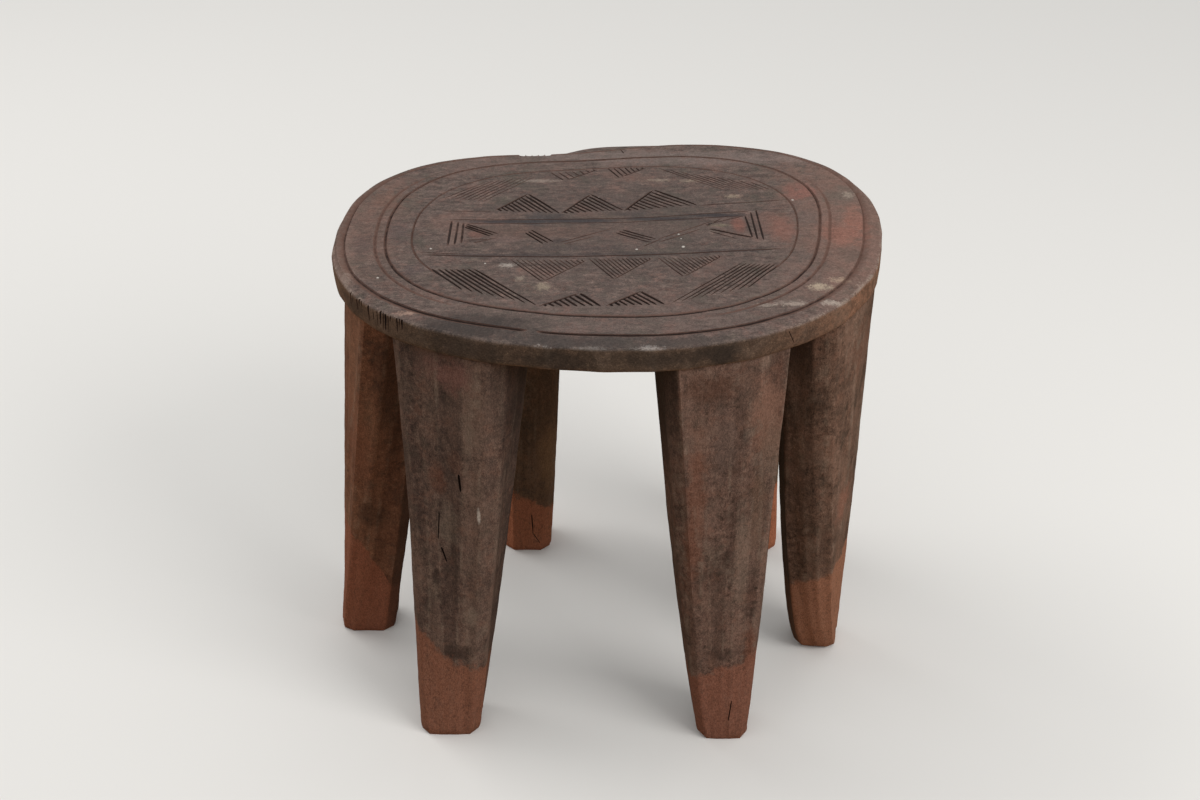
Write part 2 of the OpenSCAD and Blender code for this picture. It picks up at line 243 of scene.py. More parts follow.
def hewn_oval(half_width, half_depth, across, back, squareness, shoulder, flat, spread_left, spread_right):
    """Returns a function that gives the outline's place in one direction, from the top's middle."""

    def place(turn):
        cosine, sine = math.cos(turn), math.sin(turn)
        powers = abs(cosine / half_width) ** squareness + abs(sine / half_depth) ** squareness
        from_flat = math.remainder(turn - FLAT_TURN, math.tau)
        spread = math.radians(spread_left if from_flat > 0 else spread_right)
        radius = powers ** (-1 / squareness) + shoulder * math.cos(3 * (turn - SHOULDER_TURN))
        radius -= flat * math.exp(-(from_flat / spread) ** 2)
        return Vector((across + radius * cosine + LEAN * radius * sine, back + radius * sine, 0)) * MM

    return place


RIM_HALF_WIDTH, RIM_HALF_DEPTH = 230, 187.5
RIM_HEWING = (0, 0, 2.35, 5, 16, 20, 10)


def rim_inwards(inwards):
    """The rim's outline, moved inwards by a distance in mm."""
    return hewn_oval(RIM_HALF_WIDTH - inwards, RIM_HALF_DEPTH - inwards, *RIM_HEWING)


rim_ring = rim_inwards(0)
outer_ring = hewn_oval(217.5, 174.3, -2.1, 6.4, 2.5, 6.1, 16.9, 25, 25)
middle_ring = hewn_oval(182.1, 148.2, -4.4, 6.5, 2.6, 5.4, 5.8, 25, 25)
inner_ring = hewn_oval(161.6, 126.0, -4.3, 6.6, 2.4, 2.9, 4.2, 25, 25)
heart = hewn_oval(1, 1, 0, 0, 2, 0, 0, 25, 25)


def outwards(turn):
    """The direction away from the top's middle."""
    return Vector((math.cos(turn), math.sin(turn), 0))


def between(ring_a, ring_b, share):
    """An outline that lies part of the way from one outline to another."""
    return lambda turn: ring_a(turn).lerp(ring_b(turn), share)


def moved(ring, distance):
    """An outline moved outwards by a distance that depends on the direction."""
    return lambda turn: ring(turn) + outwards(turn) * distance(turn)

# %% Find the top's middle in the frame
AROUND = 288
turns = [math.tau * step / AROUND for step in range(AROUND)]
top_low, top_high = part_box("top")
rim_places = [rim_ring(turn) for turn in turns]
rim_box = [[pick(p[axis] for p in rim_places) for pick in (min, max)] for axis in (0, 1)]
MIDDLE = Vector([(top_low[axis] + top_high[axis] - sum(rim_box[axis])) / 2 for axis in (0, 1)] + [0])
TOP_Z = top_high.z
UNDER_Z = top_low.z
print("the top's middle is at", [round(c / MM, 2) for c in MIDDLE], "mm; slab from",
      round(UNDER_Z / MM, 1), "to", round(TOP_Z / MM, 1), "mm")

# %% [markdown]
# ## The marks of the adze
#
# Every face of the table is a patchwork of shallow hollows, one for each blow of the adze,
# with a soft ridge where two hollows meet. Voronoi cells have the same pattern: the distance
# to the nearest cell centre is a hollow, and where the nearest and the second nearest are
# equally far there is a ridge. The cells are stretched along the grain for the legs. The
# hollow is real geometry. The ridge is kept as an attribute, so that the finish can be paler
# where hands have rubbed it, and so is one random tone for each mark.

# %% The hollow, the ridge and the tone of an adze mark
RIDGE_WIDTH = 0.11
CELL_REACH = 0.7
TONE_MIX = Vector((3.7, 5.3, 2.9))


def adze_mark(place, cell, seed):
    """How deep the hollow is, how close to a ridge, and the tone of the whole mark, each 0 to 1."""
    scaled = Vector((place.x / cell[0] + seed, place.y / cell[1] - seed, place.z / cell[2] + 2 * seed))
    distances, centres = noise.voronoi(scaled)
    hollow = 1 - min(1.0, distances[0] / CELL_REACH) ** 2
    ridge = max(0.0, 1 - (distances[1] - distances[0]) / RIDGE_WIDTH)
    return hollow, ridge, centres[0].dot(TONE_MIX) % 1.0


def waver(place, size, seed=0.0):
    """Smooth unevenness from -1 to 1, with lumps of about the given size."""
    return noise.noise(Vector((place.x / size + seed, place.y / size + seed, place.z / size - seed)))


sample = [adze_mark(Vector((0.1, 0.003 * step, 0.2)), (0.02, 0.02, 0.12), 3.0)[0] for step in range(40)]
print("hollows along a face:", round(min(sample), 2), "to", round(max(sample), 2))

# %% [markdown]
# ## Turning the top on the spot: a spun profile
#
# The slab is closest to a turned plate, so it starts as one. A profile, from the middle of
# the carved face over the rim and back under the slab, is a chain of edges, and spin turns
# it once about Z. use_merge joins the last turn to the first. Each ring of vertices is then
# moved from its circle onto its own hewn outline. A ring is described by its outline, its
# height below the top, and how dark and how far round the edge it is, so the profile below
# reads like the drawing of a moulding.
#
# A ring groove is five rings of vertices close together, and seven for the outer one, which
# has a steep inner wall and a long outer slope, as the gouge was held leaning inwards. The
# grooves are deeper at the two ends than at the back, the innermost one fades out at the
# front, and a second, fainter groove runs beside the middle one at both ends.

# %% Strength of each groove by direction
def turn_window(turn, start, end, soft):
    """1 between two directions in degrees, with soft ends."""
    middle = math.radians((start + end) / 2)
    half = math.radians((end - start) / 2)
    beyond = abs(math.remainder(turn - middle, math.tau)) - half
    return min(1.0, max(0.0, 0.5 - beyond / math.radians(soft)))


def at_ends(turn):
    """1 at the left and right ends of the top, 0 at its front and back."""
    return 0.5 + 0.5 * math.cos(2 * turn)


def ring_dark_kept(turn):
    """How much of their painted dark the rings keep: less at the two ends, least at the right end."""
    return 1 - at_ends(turn) * (0.55 + 0.05 * math.cos(turn))


def inner_strength(turn):
    """The inner ring is left open at the front."""
    return turn_window(turn, -28, 212, 10) * (0.7 + 0.3 * at_ends(turn))


def middle_strength(turn):
    """The middle ring is deepest at the ends."""
    return 0.95 + 0.05 * at_ends(turn)


def double_strength(turn):
    """A second, fainter ring runs beside the middle one at both ends."""
    return max(turn_window(turn, 152, 222, 30), turn_window(turn, -52, 24, 30))


def outer_strength(turn):
    """The outer ring is faint at the back, and its two ends miss each other at the front left."""
    back = turn_window(turn, 40, 145, 50)
    break_off = turn_window(turn, 252.5, 256, 2)
    return (1 - 0.25 * back) * (1 - break_off)


def ring_width(width, more_at_ends=0.0):
    """The width of a groove in mm, with what it gains at the ends, as a rule of the direction."""
    return lambda turn: (width + more_at_ends * at_ends(turn)) * MM


# Share of the width outwards, share of the depth, and how dark it is painted there, for dirt and painted
# shade in the groove
GOUGE_SECTION = [(-0.5, 0, 0.1), (-0.25, 0.75, 0.7), (0, 1, 1), (0.25, 0.7, 0.7), (0.5, 0, 0.1)]
RING_SECTION = [(-0.5, 0, 0.3), (-0.25, 0.75, 1), (0, 1, 1), (0.25, 0.7, 0.8), (0.5, 0, 0.1)]
LEANING_SECTION = [(-0.2, 0, 0.1), (-0.1, 0.8, 1), (0, 1, 1), (0.15, 0.9, 0.6), (0.5, 0.55, 0.42),
                   (0.85, 0.35, 0.3), (1, 0.3, 0.05)]
doubled_ring = moved(middle_ring, lambda turn: 8.5 * MM)
outer_width = ring_width(2.6, 3.8)
# Outline, strength, width, depth, darkness and section
GROOVES = {
    "inner": (inner_ring, inner_strength, ring_width(2.2), 1.2 * MM, 0.75, GOUGE_SECTION),
    "middle": (middle_ring, middle_strength, ring_width(2.8, 0.2), 1.6 * MM, 0.95, RING_SECTION),
    "double": (doubled_ring, double_strength, ring_width(3.8), 0.9 * MM, 0.85, GOUGE_SECTION),
    "outer": (outer_ring, outer_strength, outer_width, 1.9 * MM, 0.85, LEANING_SECTION),
}
print("grooves:", ", ".join(GROOVES))

# %% The profile of the slab, from the middle outwards and under
SHOULDER_IN = 3.2
SHOULDER_DROP = 2.6
BAND_DROP = 0.8
SLAB = TOP_Z - UNDER_Z
profile = []


def add_ring(outline, drop, side=0.0, depth=0.0, groove=None, dark=0.0):
    """One ring of vertices; side tells how far it is from the face (0) to the upright side (1)."""
    profile.append({"outline": outline, "drop": drop, "side": side,
                    "depth": depth, "groove": groove, "dark": dark})


def add_rings(ring_a, ring_b, shares, drop_a=0.0, drop_b=0.0, side=0.0):
    """Plain rings between two outlines."""
    for share in shares:
        add_ring(between(ring_a, ring_b, share), drop_a + (drop_b - drop_a) * share, side)


def across_groove(ring, width, share):
    """The outline that lies a share of a groove's width outside its line."""
    return moved(ring, lambda turn: share * width(turn))


def add_groove(name):
    """The rings of one groove."""
    ring, _, width, deepest, darkness, section = GROOVES[name]
    for share, depth, dark in section:
        add_ring(across_groove(ring, width, share), 0.0, 0.0, depth * deepest, name, dark * darkness)


# Inwards from the rim and below the top, in mm, and how far round to the side
EDGE = [(SHOULDER_IN, SHOULDER_DROP, 0.15), (1.9, 2.9, 0.3), (0.9, 3.6, 0.5), (0.3, 4.6, 0.75),
        (0.1, 6.0, 0.95), (0.1, 7.6, 1), (0.1, 9.2, 1), (0.1, 10.8, 1), (0.1, 12.4, 1), (0.1, 14.0, 1),
        (0.1, 15.6, 1), (0.1, 17.2, 1), (0.15, 18.8, 1), (0.25, 20.4, 1), (0.5, 21.8, 1), (1.0, 22.9, 1),
        (1.8, 23.6, 1), (3.0, 24.0, 1)]
FIELD_RINGS = [0.02, 0.1, 0.18, 0.26, 0.34, 0.42, 0.5, 0.57, 0.64, 0.71, 0.78, 0.84, 0.9, 0.95]
UNDER_RINGS = [0.1, 0.2, 0.3, 0.4, 0.5, 0.6, 0.7, 0.8, 0.9, 0.98]
add_rings(heart, inner_ring, FIELD_RINGS)
add_groove("inner")
add_rings(inner_ring, middle_ring, [0.22, 0.4, 0.6, 0.78])
add_groove("middle")
add_groove("double")
add_rings(middle_ring, outer_ring, [0.5, 0.62, 0.74, 0.85])
add_groove("outer")
add_rings(moved(outer_ring, outer_width), rim_inwards(SHOULDER_IN), [0.25, 0.5, 0.75],
          BAND_DROP * MM, SHOULDER_DROP * MM)
for inwards, below, side in EDGE:
    add_ring(rim_inwards(inwards), below * MM, side)
add_rings(rim_ring, heart, UNDER_RINGS, SLAB, SLAB, 1.0)
print("profile of", len(profile), "rings, which gives", len(profile) * AROUND, "vertices")

# %% Spin the profile and move each ring onto its outline
RING_MARK = 0.001
LAYERS = ("cut", "ridge", "facet", "side", "tide", "inner")
FACE_CELL = (0.034, 0.022, 0.03)
SIDE_CELL = (0.034, 0.034, 0.05)
UNDER_CELL = (0.022, 0.03, 0.03)
FACE_HOLLOW = 0.35 * MM
FACE_WAVE, FACE_WAVE_LENGTH = 0.35 * MM, 0.07
FACE_SEED, SIDE_SEED, UNDER_SEED = 1.7, 4.2, 2.6
SIDE_HOLLOW = 1.3 * MM
UNDER_HOLLOW = 0.8 * MM
GROOVE_STRAY = 0.4 * MM
GROOVE_UNEVEN = 0.25
EDGE_DROP = 3 * MM
FACE_RIDGE = 0.35


def new_body():
    """An empty bmesh with the layers that the finish reads."""
    body = bmesh.new()
    return body, {name: body.verts.layers.float.new(name) for name in LAYERS}


def surface_drop(place):
    """How far the worn and hewn face lies below the highest point of the table, and its ridges."""
    hollow, ridge, _ = adze_mark(place, FACE_CELL, FACE_SEED)
    return FACE_HOLLOW * hollow + FACE_WAVE * (0.5 + 0.5 * waver(place, FACE_WAVE_LENGTH)), ridge


carved, layers = new_body()
chain = [carved.verts.new((RING_MARK * (step + 1), 0, -0.1 * RING_MARK * step))
         for step in range(len(profile))]
chain_edges = [carved.edges.new(pair) for pair in zip(chain, chain[1:])]
bmesh.ops.spin(carved, geom=chain + chain_edges, cent=(0, 0, 0), axis=(0, 0, 1), angle=math.tau,
               steps=AROUND, use_merge=True)

for vert in carved.verts:
    ring = profile[round(math.hypot(vert.co.x, vert.co.y) / RING_MARK) - 1]
    turn = math.atan2(vert.co.y, vert.co.x)
    place = ring["outline"](turn)
    depth = 0.0
    if ring["groove"]:
        strength = GROOVES[ring["groove"]][1](turn) * (1 + GROOVE_UNEVEN * waver(place, 0.012, 5.0))
        depth = ring["depth"] * strength
        place += outwards(turn) * GROOVE_STRAY * waver(place, 0.03, 9.0)
        # The groove's dark, kept for the finish: dirt, and painted shade in the groove
        vert[layers["cut"]] = min(1.0, ring["dark"] * strength * ring_dark_kept(turn))
    place += MIDDLE
    on_face = max(0.0, 1 - ring["drop"] / EDGE_DROP)
    hewn_drop, face_ridge = surface_drop(Vector((place.x, place.y, 0)))
    place.z = TOP_Z - ring["drop"] - depth - hewn_drop * on_face
    vert[layers["side"]] = ring["side"]
    vert[layers["ridge"]] = FACE_RIDGE * face_ridge * on_face
    if ring["drop"] >= SLAB:
        place.z += UNDER_HOLLOW * adze_mark(place, UNDER_CELL, UNDER_SEED)[0]
    elif ring["side"]:
        hollow, side_ridge, vert[layers["facet"]] = adze_mark(place, SIDE_CELL, SIDE_SEED)
        place -= outwards(turn) * SIDE_HOLLOW * hollow * ring["side"]
        vert[layers["ridge"]] = side_ridge * ring["side"]
    vert.co = place

for upper in (True, False):
    loop = [e for e in carved.edges
            if e.is_boundary and (e.verts[0].co.z > (TOP_Z + UNDER_Z) / 2) == upper]
    bmesh.ops.edgeloop_fill(carved, edges=loop)
bmesh.ops.recalc_face_normals(carved, faces=carved.faces)
open_edges = sum(1 for e in carved.edges if not e.is_manifold)
print("carved top:", len(carved.verts), "vertices,", len(carved.faces), "faces,", open_edges, "open edges")

# %% [markdown]
# ## A skin through a stack of outlines
#
# Long lines and legs are both made the same way. create_circle gives one closed loop, which
# is placed on the first outline. The loop is extruded, the new loop is placed on the next
# outline, and so on, and both ends are closed. The outlines only need the same number of
# points. Extruding keeps the wall in clean quads, which is what the adze marks need.

# %% Grow a body through outlines
def grow(body, sections):
    """Adds a closed skin through sections, each a list of places, and returns its loops of vertices."""
    loop = bmesh.ops.create_circle(body, segments=len(sections[0]), radius=1)["verts"]
    edges = list({edge for vert in loop for edge in vert.link_edges})
    loops = [loop]
    for _ in sections[1:]:
        grown = bmesh.ops.extrude_edge_only(body, edges=edges)["geom"]
        fresh = {item for item in grown if isinstance(item, bmesh.types.BMVert)}
        edges = [item for item in grown if isinstance(item, bmesh.types.BMEdge) and item.is_boundary]
        loops.append([next(e.other_vert(v) for e in v.link_edges if e.other_vert(v) in fresh)
                      for v in loops[-1]])
    for section, loop in zip(sections, loops):
        for vert, place in zip(loop, section):
            vert.co = place
    for loop in (loops[0], loops[-1]):
        members = set(loop)
        rim_edges = {e for v in loop for e in v.link_edges if e.is_boundary and e.other_vert(v) in members}
        bmesh.ops.edgeloop_fill(body, edges=list(rim_edges))
    return loops


trial = bmesh.new()
trial_loops = grow(trial, [[outwards(turn) * size for turn in turns[::36]] for size in (1, 2)])
print("a skin through two outlines of", len(trial_loops[0]), "points has", len(trial.faces), "faces")
trial.free()

# %% [markdown]
# ## The hatching: strokes of a gouge
#
# A gouge stroke is shaped like a blunt boat: it enters the wood, keeps its width, and comes
# out again. A long thin sphere with few faces is close to that, so each cutter is one
# uvsphere, blunted at both ends, laid along its stroke and sunk half way into the face. All
# the cutters are one object, and one Boolean takes them out of the top. The strokes are few
# enough to list one by one: every triangle is three corners, and its strokes run side by side
# between two of its sides.

# %% The boat-shaped cutter
SPHERE_AROUND = 8
SPHERE_ALONG = 8
BLUNTNESS = 7
POLE = 0.01
SHAKE = 0.35
WIDTH_VARIES, DEPTH_VARIES = (0.88, 1.12), (0.85, 1.1)
DOWN = Vector((0, 0, -1))
carver = random.Random(11)
strokes = bmesh.new()
lines = bmesh.new()


def at(x, y, z=None):
    """A place on the carved face, from the top's middle, in millimetres."""
    spot = Vector((x * MM, y * MM, 0)) + MIDDLE
    spot.z = TOP_Z - surface_drop(Vector((spot.x, spot.y, 0)))[0] if z is None else z
    return spot


def stroke(start, end, width, depth, into=strokes, down=DOWN, taper=0.25):
    """Lays one boat-shaped cutter from one place to another; it thins towards its end."""
    run = end - start
    along = run.normalized()
    across = down.cross(along).normalized()
    deep = along.cross(across).normalized()
    turned = Matrix((across, deep, along)).transposed().to_4x4()
    sized = Matrix.Diagonal((width / 2 * MM, depth * MM, run.length / 2, 1))
    boat = bmesh.ops.create_uvsphere(
        into, u_segments=SPHERE_AROUND, v_segments=SPHERE_ALONG, radius=1)["verts"]
    for vert in boat:
        thin = math.sqrt(max(0.0, 1 - vert.co.z ** 2))
        if thin > POLE:
            full = math.sqrt(1 - abs(vert.co.z) ** BLUNTNESS) / thin
            full *= 1 - taper * (0.5 + 0.5 * vert.co.z)
            vert.co.x *= full
            vert.co.y *= full
    laid = Matrix.Translation((start + end) / 2) @ turned @ sized
    bmesh.ops.transform(into, matrix=laid, verts=boat)


def shake(spot):
    """A hand's small error."""
    return spot + Vector((carver.uniform(-SHAKE, SHAKE) * MM, carver.uniform(-SHAKE, SHAKE) * MM, 0))


def fan(start_a, start_b, end_a, end_b, count, width, depth):
    """Strokes side by side, from one edge to another."""
    for step in range(count):
        share = step / (count - 1)
        start = at(*start_a).lerp(at(*start_b), share)
        end = at(*end_a).lerp(at(*end_b), share)
        stroke(shake(start), shake(end),
               width * carver.uniform(*WIDTH_VARIES), depth * carver.uniform(*DEPTH_VARIES))


print("cutter of", SPHERE_AROUND, "by", SPHERE_ALONG, "faces")

# %% [markdown]
# A long line is one pull of the gouge. Its cutter is a thin skin through six-sided outlines,
# which follows a smoothed path and tapers at both ends. The lines are cut after the strokes,
# in a Boolean of their own, because they cross some of them.

# %% The long cutter
LINE_SIDES = 6
LINE_STEP = 5 * MM
LINE_TAPER = 7 * MM
LINE_SMOOTHINGS = 6
LINE_END = 0.15
LINE_UNEVEN, LINE_WAVE = 0.12, 0.02
# The fine line along a triangle: how far off its side in mm, and its shares of a stroke's width and depth
SIDE_LINE_OFF, SIDE_LINE_WIDTH, SIDE_LINE_DEPTH = 0.3, 0.85, 0.9


def cut_line(points, width, depth):
    """A long line through places on the face."""
    path = [at(*points[0])]
    for start, end in zip(points, points[1:]):
        pieces = max(2, round(math.dist(start, end) * MM / LINE_STEP))
        path += [at(*(s + (e - s) * step / pieces for s, e in zip(start, end)))
                 for step in range(1, pieces + 1)]
    for _ in range(LINE_SMOOTHINGS):
        path[1:-1] = [(before + 2 * here + after) / 4
                      for before, here, after in zip(path, path[1:], path[2:])]
    sections = []
    for step, spot in enumerate(path):
        along = (path[min(step + 1, len(path) - 1)] - path[max(step - 1, 0)]).normalized()
        across = along.cross(DOWN).normalized()
        end_share = min((spot - path[0]).length, (spot - path[-1]).length) / LINE_TAPER
        size = min(1.0, LINE_END + end_share) * (1 + LINE_UNEVEN * waver(spot, LINE_WAVE, 3.0))
        sections.append([
            spot + size * MM * (across * math.cos(turn) * width / 2 + DOWN * math.sin(turn) * depth)
            for turn in (math.tau * side / LINE_SIDES for side in range(LINE_SIDES))])
    grow(lines, sections)


def hatched_triangle(near, apex, far, count, width, depth):
    """Strokes parallel to the side from apex to far, and a fine line along the other side."""
    share = 1 / (count + 0.5)
    fan([n + (a - n) * share for n, a in zip(near, apex)], apex,
        [n + (f - n) * share for n, f in zip(near, far)], far, count, width, depth)
    run = [a - n for n, a in zip(near, apex)]
    off = SIDE_LINE_OFF / math.hypot(*run)
    shift = (-run[1] * off, run[0] * off)
    if (far[0] - near[0]) * shift[0] + (far[1] - near[1]) * shift[1] > 0:
        shift = (-shift[0], -shift[1])
    cut_line([[c + s for c, s in zip(corner, shift)] for corner in (near, apex)],
             SIDE_LINE_WIDTH * width, SIDE_LINE_DEPTH * depth)


print("lines are cut in steps of", LINE_STEP / MM, "mm")

# %% Cut the two long rows and the two short rows
# Three corners of each triangle; the strokes run beside the side between the last two
ROW_BEHIND = [((-101, 39), (-74, 73), (-45, 34)), ((-44, 34), (-19, 72), (9, 40)),
              ((10, 39), (36, 81), (73, 50))]
ROW_IN_FRONT = [((-22, -52), (-57, -89), (-84, -51)), ((32, -48), (0, -85), (-20, -50)),
                ((89, -44), (56, -80), (36, -48))]
ROW_AT_FRONT = [((-58, -129), (-27, -108.5), (-10.5, -129.5)), ((-6.5, -129.5), (21, -105.5), (39, -126.5))]
ROW_AT_BACK = [((-12, 125), (-43, 101), (-55, 118)), ((31, 129), (6, 107), (-4, 127))]
for row, count, width, depth in ((ROW_BEHIND, 10, 2.8, 2.0), (ROW_IN_FRONT, 14, 1.7, 0.9),
                                 (ROW_AT_FRONT, 8, 2.9, 2.2), (ROW_AT_BACK, 7, 1.9, 1.0)):
    for corners in row:
        hatched_triangle(*corners, count, width, depth)
print("four rows of triangles")

# %% Cut the spears, the lines, the panel, its bars and its teeth
# Both ends of the first edge and of the second, then the number, width and depth of the strokes
SPEARS = [((-146, -67), (-113, -67), (-119, -103), (-60, -128), 8, 2.6, 2.0),
          ((135, -58), (104, -57), (105, -100), (44, -125), 9, 1.9, 1.3),
          ((-146, 64), (-113, 57), (-112, 99), (-68, 111), 8, 1.5, 0.6),
          ((42, 126), (122, 98), (101, 79), (138, 82), 9, 1.7, 0.8)]
TEETH = [((-124, 14), (-125.5, 8.8), (-96.5, -4.6), (-102.7, -8.8), 3, 2.5, 1.9),
         ((-69, 3), (-73.5, -2.3), (-49.4, -20), (-57.6, -23.4), 3, 2.4, 1.9),
         ((7.6, 2.8), (1.6, -2.3), (36, -13.7), (30.4, -20), 3, 2.5, 1.9)]
# Width and depth, and the places along each line
LINES = [
    (2.0, 1.5, [(-156, -43), (-112, -45), (-60, -47), (-9, -45), (42, -42), (89, -37), (139, -32)]),
    (1.2, 0.8, [(-158, -39), (-140, -40.5), (-118, -41.5)]),
    (1.4, 0.7, [(-148, 39), (-101, 38.5)]),
    (1.6, 0.9, [(74, 49.5), (112, 55.5), (147.5, 61)]),
    (1.5, 1.0, [(-139, 22), (-74, 22), (-34, 23), (9, 24.5), (46, 28.5), (87, 34.5), (120, 39)]),
    (1.4, 0.9, [(-125, 15), (-74, 15), (-34, 15.5), (9, 16.5), (33, 20), (66, 23.5), (111, 29.5)]),
]
# Width, depth and taper, and both ends of each single stroke
BARS = [
    (2.4, 0.7, 0, [(-136.7, 21, -136.7, -27), (-131, 18.5, -131.2, -25), (-126.5, 16.5, -125.7, -22.5)]),
    (2.0, 1.0, 0, [(112.7, 30, 116, -11), (118, 37, 120, -15.5), (122.8, 41.5, 125, -16.5)]),
]
SINGLE_STROKES = [
    (1.7, 0.7, 0.25, [
        (-116, -21.4, -97.3, -12), (-122, -15.7, -104.4, -14.5), (-44.7, -20.8, -0.7, 5.7),
        (-41, -23.4, -15, -9), (37, -14.2, 86.6, 20.7), (38.2, -19.5, 73.7, 4.4),
        (25, -27.3, 39.5, -14.2), (77, 11.4, 111.7, 29), (79, 10, 93, 25)]),
    (2.4, 1.6, -0.3, [(80.4, 4.3, 116, -10.9)]),
    (1.5, 1.1, 0.25, [(81.2, -0.4, 102.3, -13.2), (6, 175, 11, 160)]),
]


def cut_strokes(table):
    """Single strokes on the face."""
    for width, depth, taper, places in table:
        for start_x, start_y, end_x, end_y in places:
            stroke(at(start_x, start_y), at(end_x, end_y), width, depth, taper=taper)


for spear in SPEARS:
    fan(*spear)
for width, depth, points in LINES:
    cut_line(points, width, depth)
cut_strokes(BARS)
for tooth in TEETH:
    fan(*tooth)
cut_strokes(SINGLE_STROKES)
print("strokes on the face:", len(strokes.faces) // (SPHERE_AROUND * SPHERE_ALONG))

# %% [markdown]
# ## Chips and splits in the rim
#
# At the back left a piece of the rim has broken away, which leaves a shallow ragged notch.
# At the left front the adze tore the end grain, and short dark splits run down the side. A
# fine crack runs down the rim above the right front leg. All of these are cut with the same
# boat-shaped cutter as the hatching. The notch is a row of blunt boats.

# %% Cut the notch, the splits and the crack in the rim
NOTCH_FROM, NOTCH_TO = (-85, 158.5), (-56, 159.5)
NOTCH_BITES = 5
NOTCH_DROP = 1.2
BITE_REACH, BITE_SLANT = 3.2, 0.8
BITE_WIDTH, BITE_DEPTH, BITE_VARIES = 5.5, 3.4, 0.8
for bite in range(NOTCH_BITES):
    share = (bite + 0.5) / NOTCH_BITES
    x, y = (a + (b - a) * share for a, b in zip(NOTCH_FROM, NOTCH_TO))
    middle = at(x, y, TOP_Z - NOTCH_DROP * MM)
    reach = Vector((BITE_REACH * MM, BITE_SLANT * MM * carver.uniform(-1, 1), 0))
    depth = BITE_DEPTH + carver.uniform(-BITE_VARIES, BITE_VARIES)
    stroke(middle - reach, middle + reach, BITE_WIDTH, depth, taper=0)


def rim_spot(turn, inwards, drop):
    """A place on the rim or its side, in a direction in degrees and distances in mm."""
    spot = rim_inwards(inwards)(math.radians(turn)) + MIDDLE
    spot.z = TOP_Z - drop * MM
    return spot


# Middle in degrees, number of splits and half of their spread in degrees
SPLITS = [(207.3, 2, 0.9), (210.4, 3, 1.3), (213.8, 1, 0.2), (216.6, 3, 1.5), (219.4, 4, 1.4),
          (222.9, 3, 1.2)]
SPLIT_STRAY, SPLIT_LEAN = 0.12, 0.3
START_INWARDS, START_DROP = (0.5, 2.6), (2.6, 4.5)
END_INWARDS, END_DROP = 0.4, (9, 20)
SPLIT_WIDTH, SPLIT_DEPTH, SPLIT_TAPER = (1.4, 3.2), (2.0, 3.4), 0.6
for middle_turn, count, spread in SPLITS:
    for number in range(count):
        turn = middle_turn + spread * (2 * (number + 0.5) / count - 1)
        turn += carver.uniform(-SPLIT_STRAY, SPLIT_STRAY)
        start = rim_spot(turn, carver.uniform(*START_INWARDS), carver.uniform(*START_DROP))
        lean = carver.uniform(-SPLIT_LEAN, SPLIT_LEAN)
        end = rim_spot(turn + lean, END_INWARDS, carver.uniform(*END_DROP))
        stroke(start, end, carver.uniform(*SPLIT_WIDTH), carver.uniform(*SPLIT_DEPTH),
               down=-outwards(math.radians(turn)), taper=SPLIT_TAPER)
# Direction in degrees, inwards and down in mm, at the crack's two ends
CRACK_TOP, CRACK_LOW = (312.2, 1.5, 5), (314, 0.6, 19)
CRACK_WIDTH, CRACK_DEPTH, CRACK_FACES = 0.8, 1.4, 313
stroke(rim_spot(*CRACK_TOP), rim_spot(*CRACK_LOW), CRACK_WIDTH, CRACK_DEPTH,
       down=-outwards(math.radians(CRACK_FACES)))
print("strokes in all:", len(strokes.faces) // (SPHERE_AROUND * SPHERE_ALONG))

# %% [markdown]
# ## Taking the strokes out, and remembering how deep they are
#
# A Boolean modifier subtracts the cutters, and its result replaces the mesh. The finish needs
# to know where the cuts are, because it darkens them, partly for the soot and dust that settle
# in them and partly as painted shade in the hollows. Each vertex of the cut mesh is therefore
# measured against the uncut face: its distance is its depth, and it is kept as the attribute
# "cut", to which the ring grooves' own values are added. The other layers are read from the
# nearest face of the uncut body.

# %% Subtract and measure
CUT_SCALE = 1.0 * MM
SHARP_ANGLE = math.radians(38)
LEAST_DISTANCE = 0.01 * MM


def finish_mesh(name, body):
    """Makes an object from a bmesh, which is then freed."""
    data = bpy.data.meshes.new(name)
    body.to_mesh(data)
    body.free()
    made = bpy.data.objects.new(name, data)
    scene.collection.objects.link(made)
    data.shade_smooth()
    data.set_sharp_from_angle(angle=SHARP_ANGLE)
    return made


def cut_away(name, body, cutters):
    """Subtracts each set of cutters from the body and stores how deep each place is cut."""
    uncut = bvhtree.BVHTree.FromBMesh(body)
    sources = [body.verts.layers.float[layer] for layer in LAYERS]
    known = [[(v.co.copy(), [v[source] for source in sources]) for v in face.verts] for face in body.faces]
    whole = finish_mesh(name, body)
    for cutter in cutters:
        bmesh.ops.recalc_face_normals(cutter, faces=cutter.faces)
    tools = [finish_mesh(name + "_tool", cutter) for cutter in cutters]
    for tool in tools:
        boolean = whole.modifiers.new("strokes", "BOOLEAN")
        boolean.operation = "DIFFERENCE"
        boolean.solver = "MANIFOLD"
        boolean.object = tool
    result = bpy.data.meshes.new_from_object(whole.evaluated_get(bpy.context.evaluated_depsgraph_get()))
    whole.modifiers.clear()
    whole.data = result
    for tool in tools:
        bpy.data.objects.remove(tool)
    result.materials.clear()
    for layer in LAYERS:
        if layer in result.attributes:
            result.attributes.remove(result.attributes[layer])
    for layer in LAYERS:
        result.attributes.new(layer, "FLOAT", "POINT")
    stored = [result.attributes[layer].data for layer in LAYERS]
    for index, vert in enumerate(result.vertices):
        _, _, face, distance = uncut.find_nearest(vert.co)
        weights = [1 / ((vert.co - co).length + LEAST_DISTANCE) for co, _ in known[face]]
        for number, data in enumerate(stored):
            value = sum(w * values[number] for w, (_, values) in zip(weights, known[face])) / sum(weights)
            data[index].value = value if number else min(1.0, value + distance / CUT_SCALE)
    result.shade_smooth()
    result.set_sharp_from_angle(angle=SHARP_ANGLE)
    return whole


carved_top = cut_away("carved_top", carved, [strokes, lines])
print("carved top after cutting:", len(carved_top.data.vertices), "vertices,",
      len(carved_top.data.polygons), "faces")

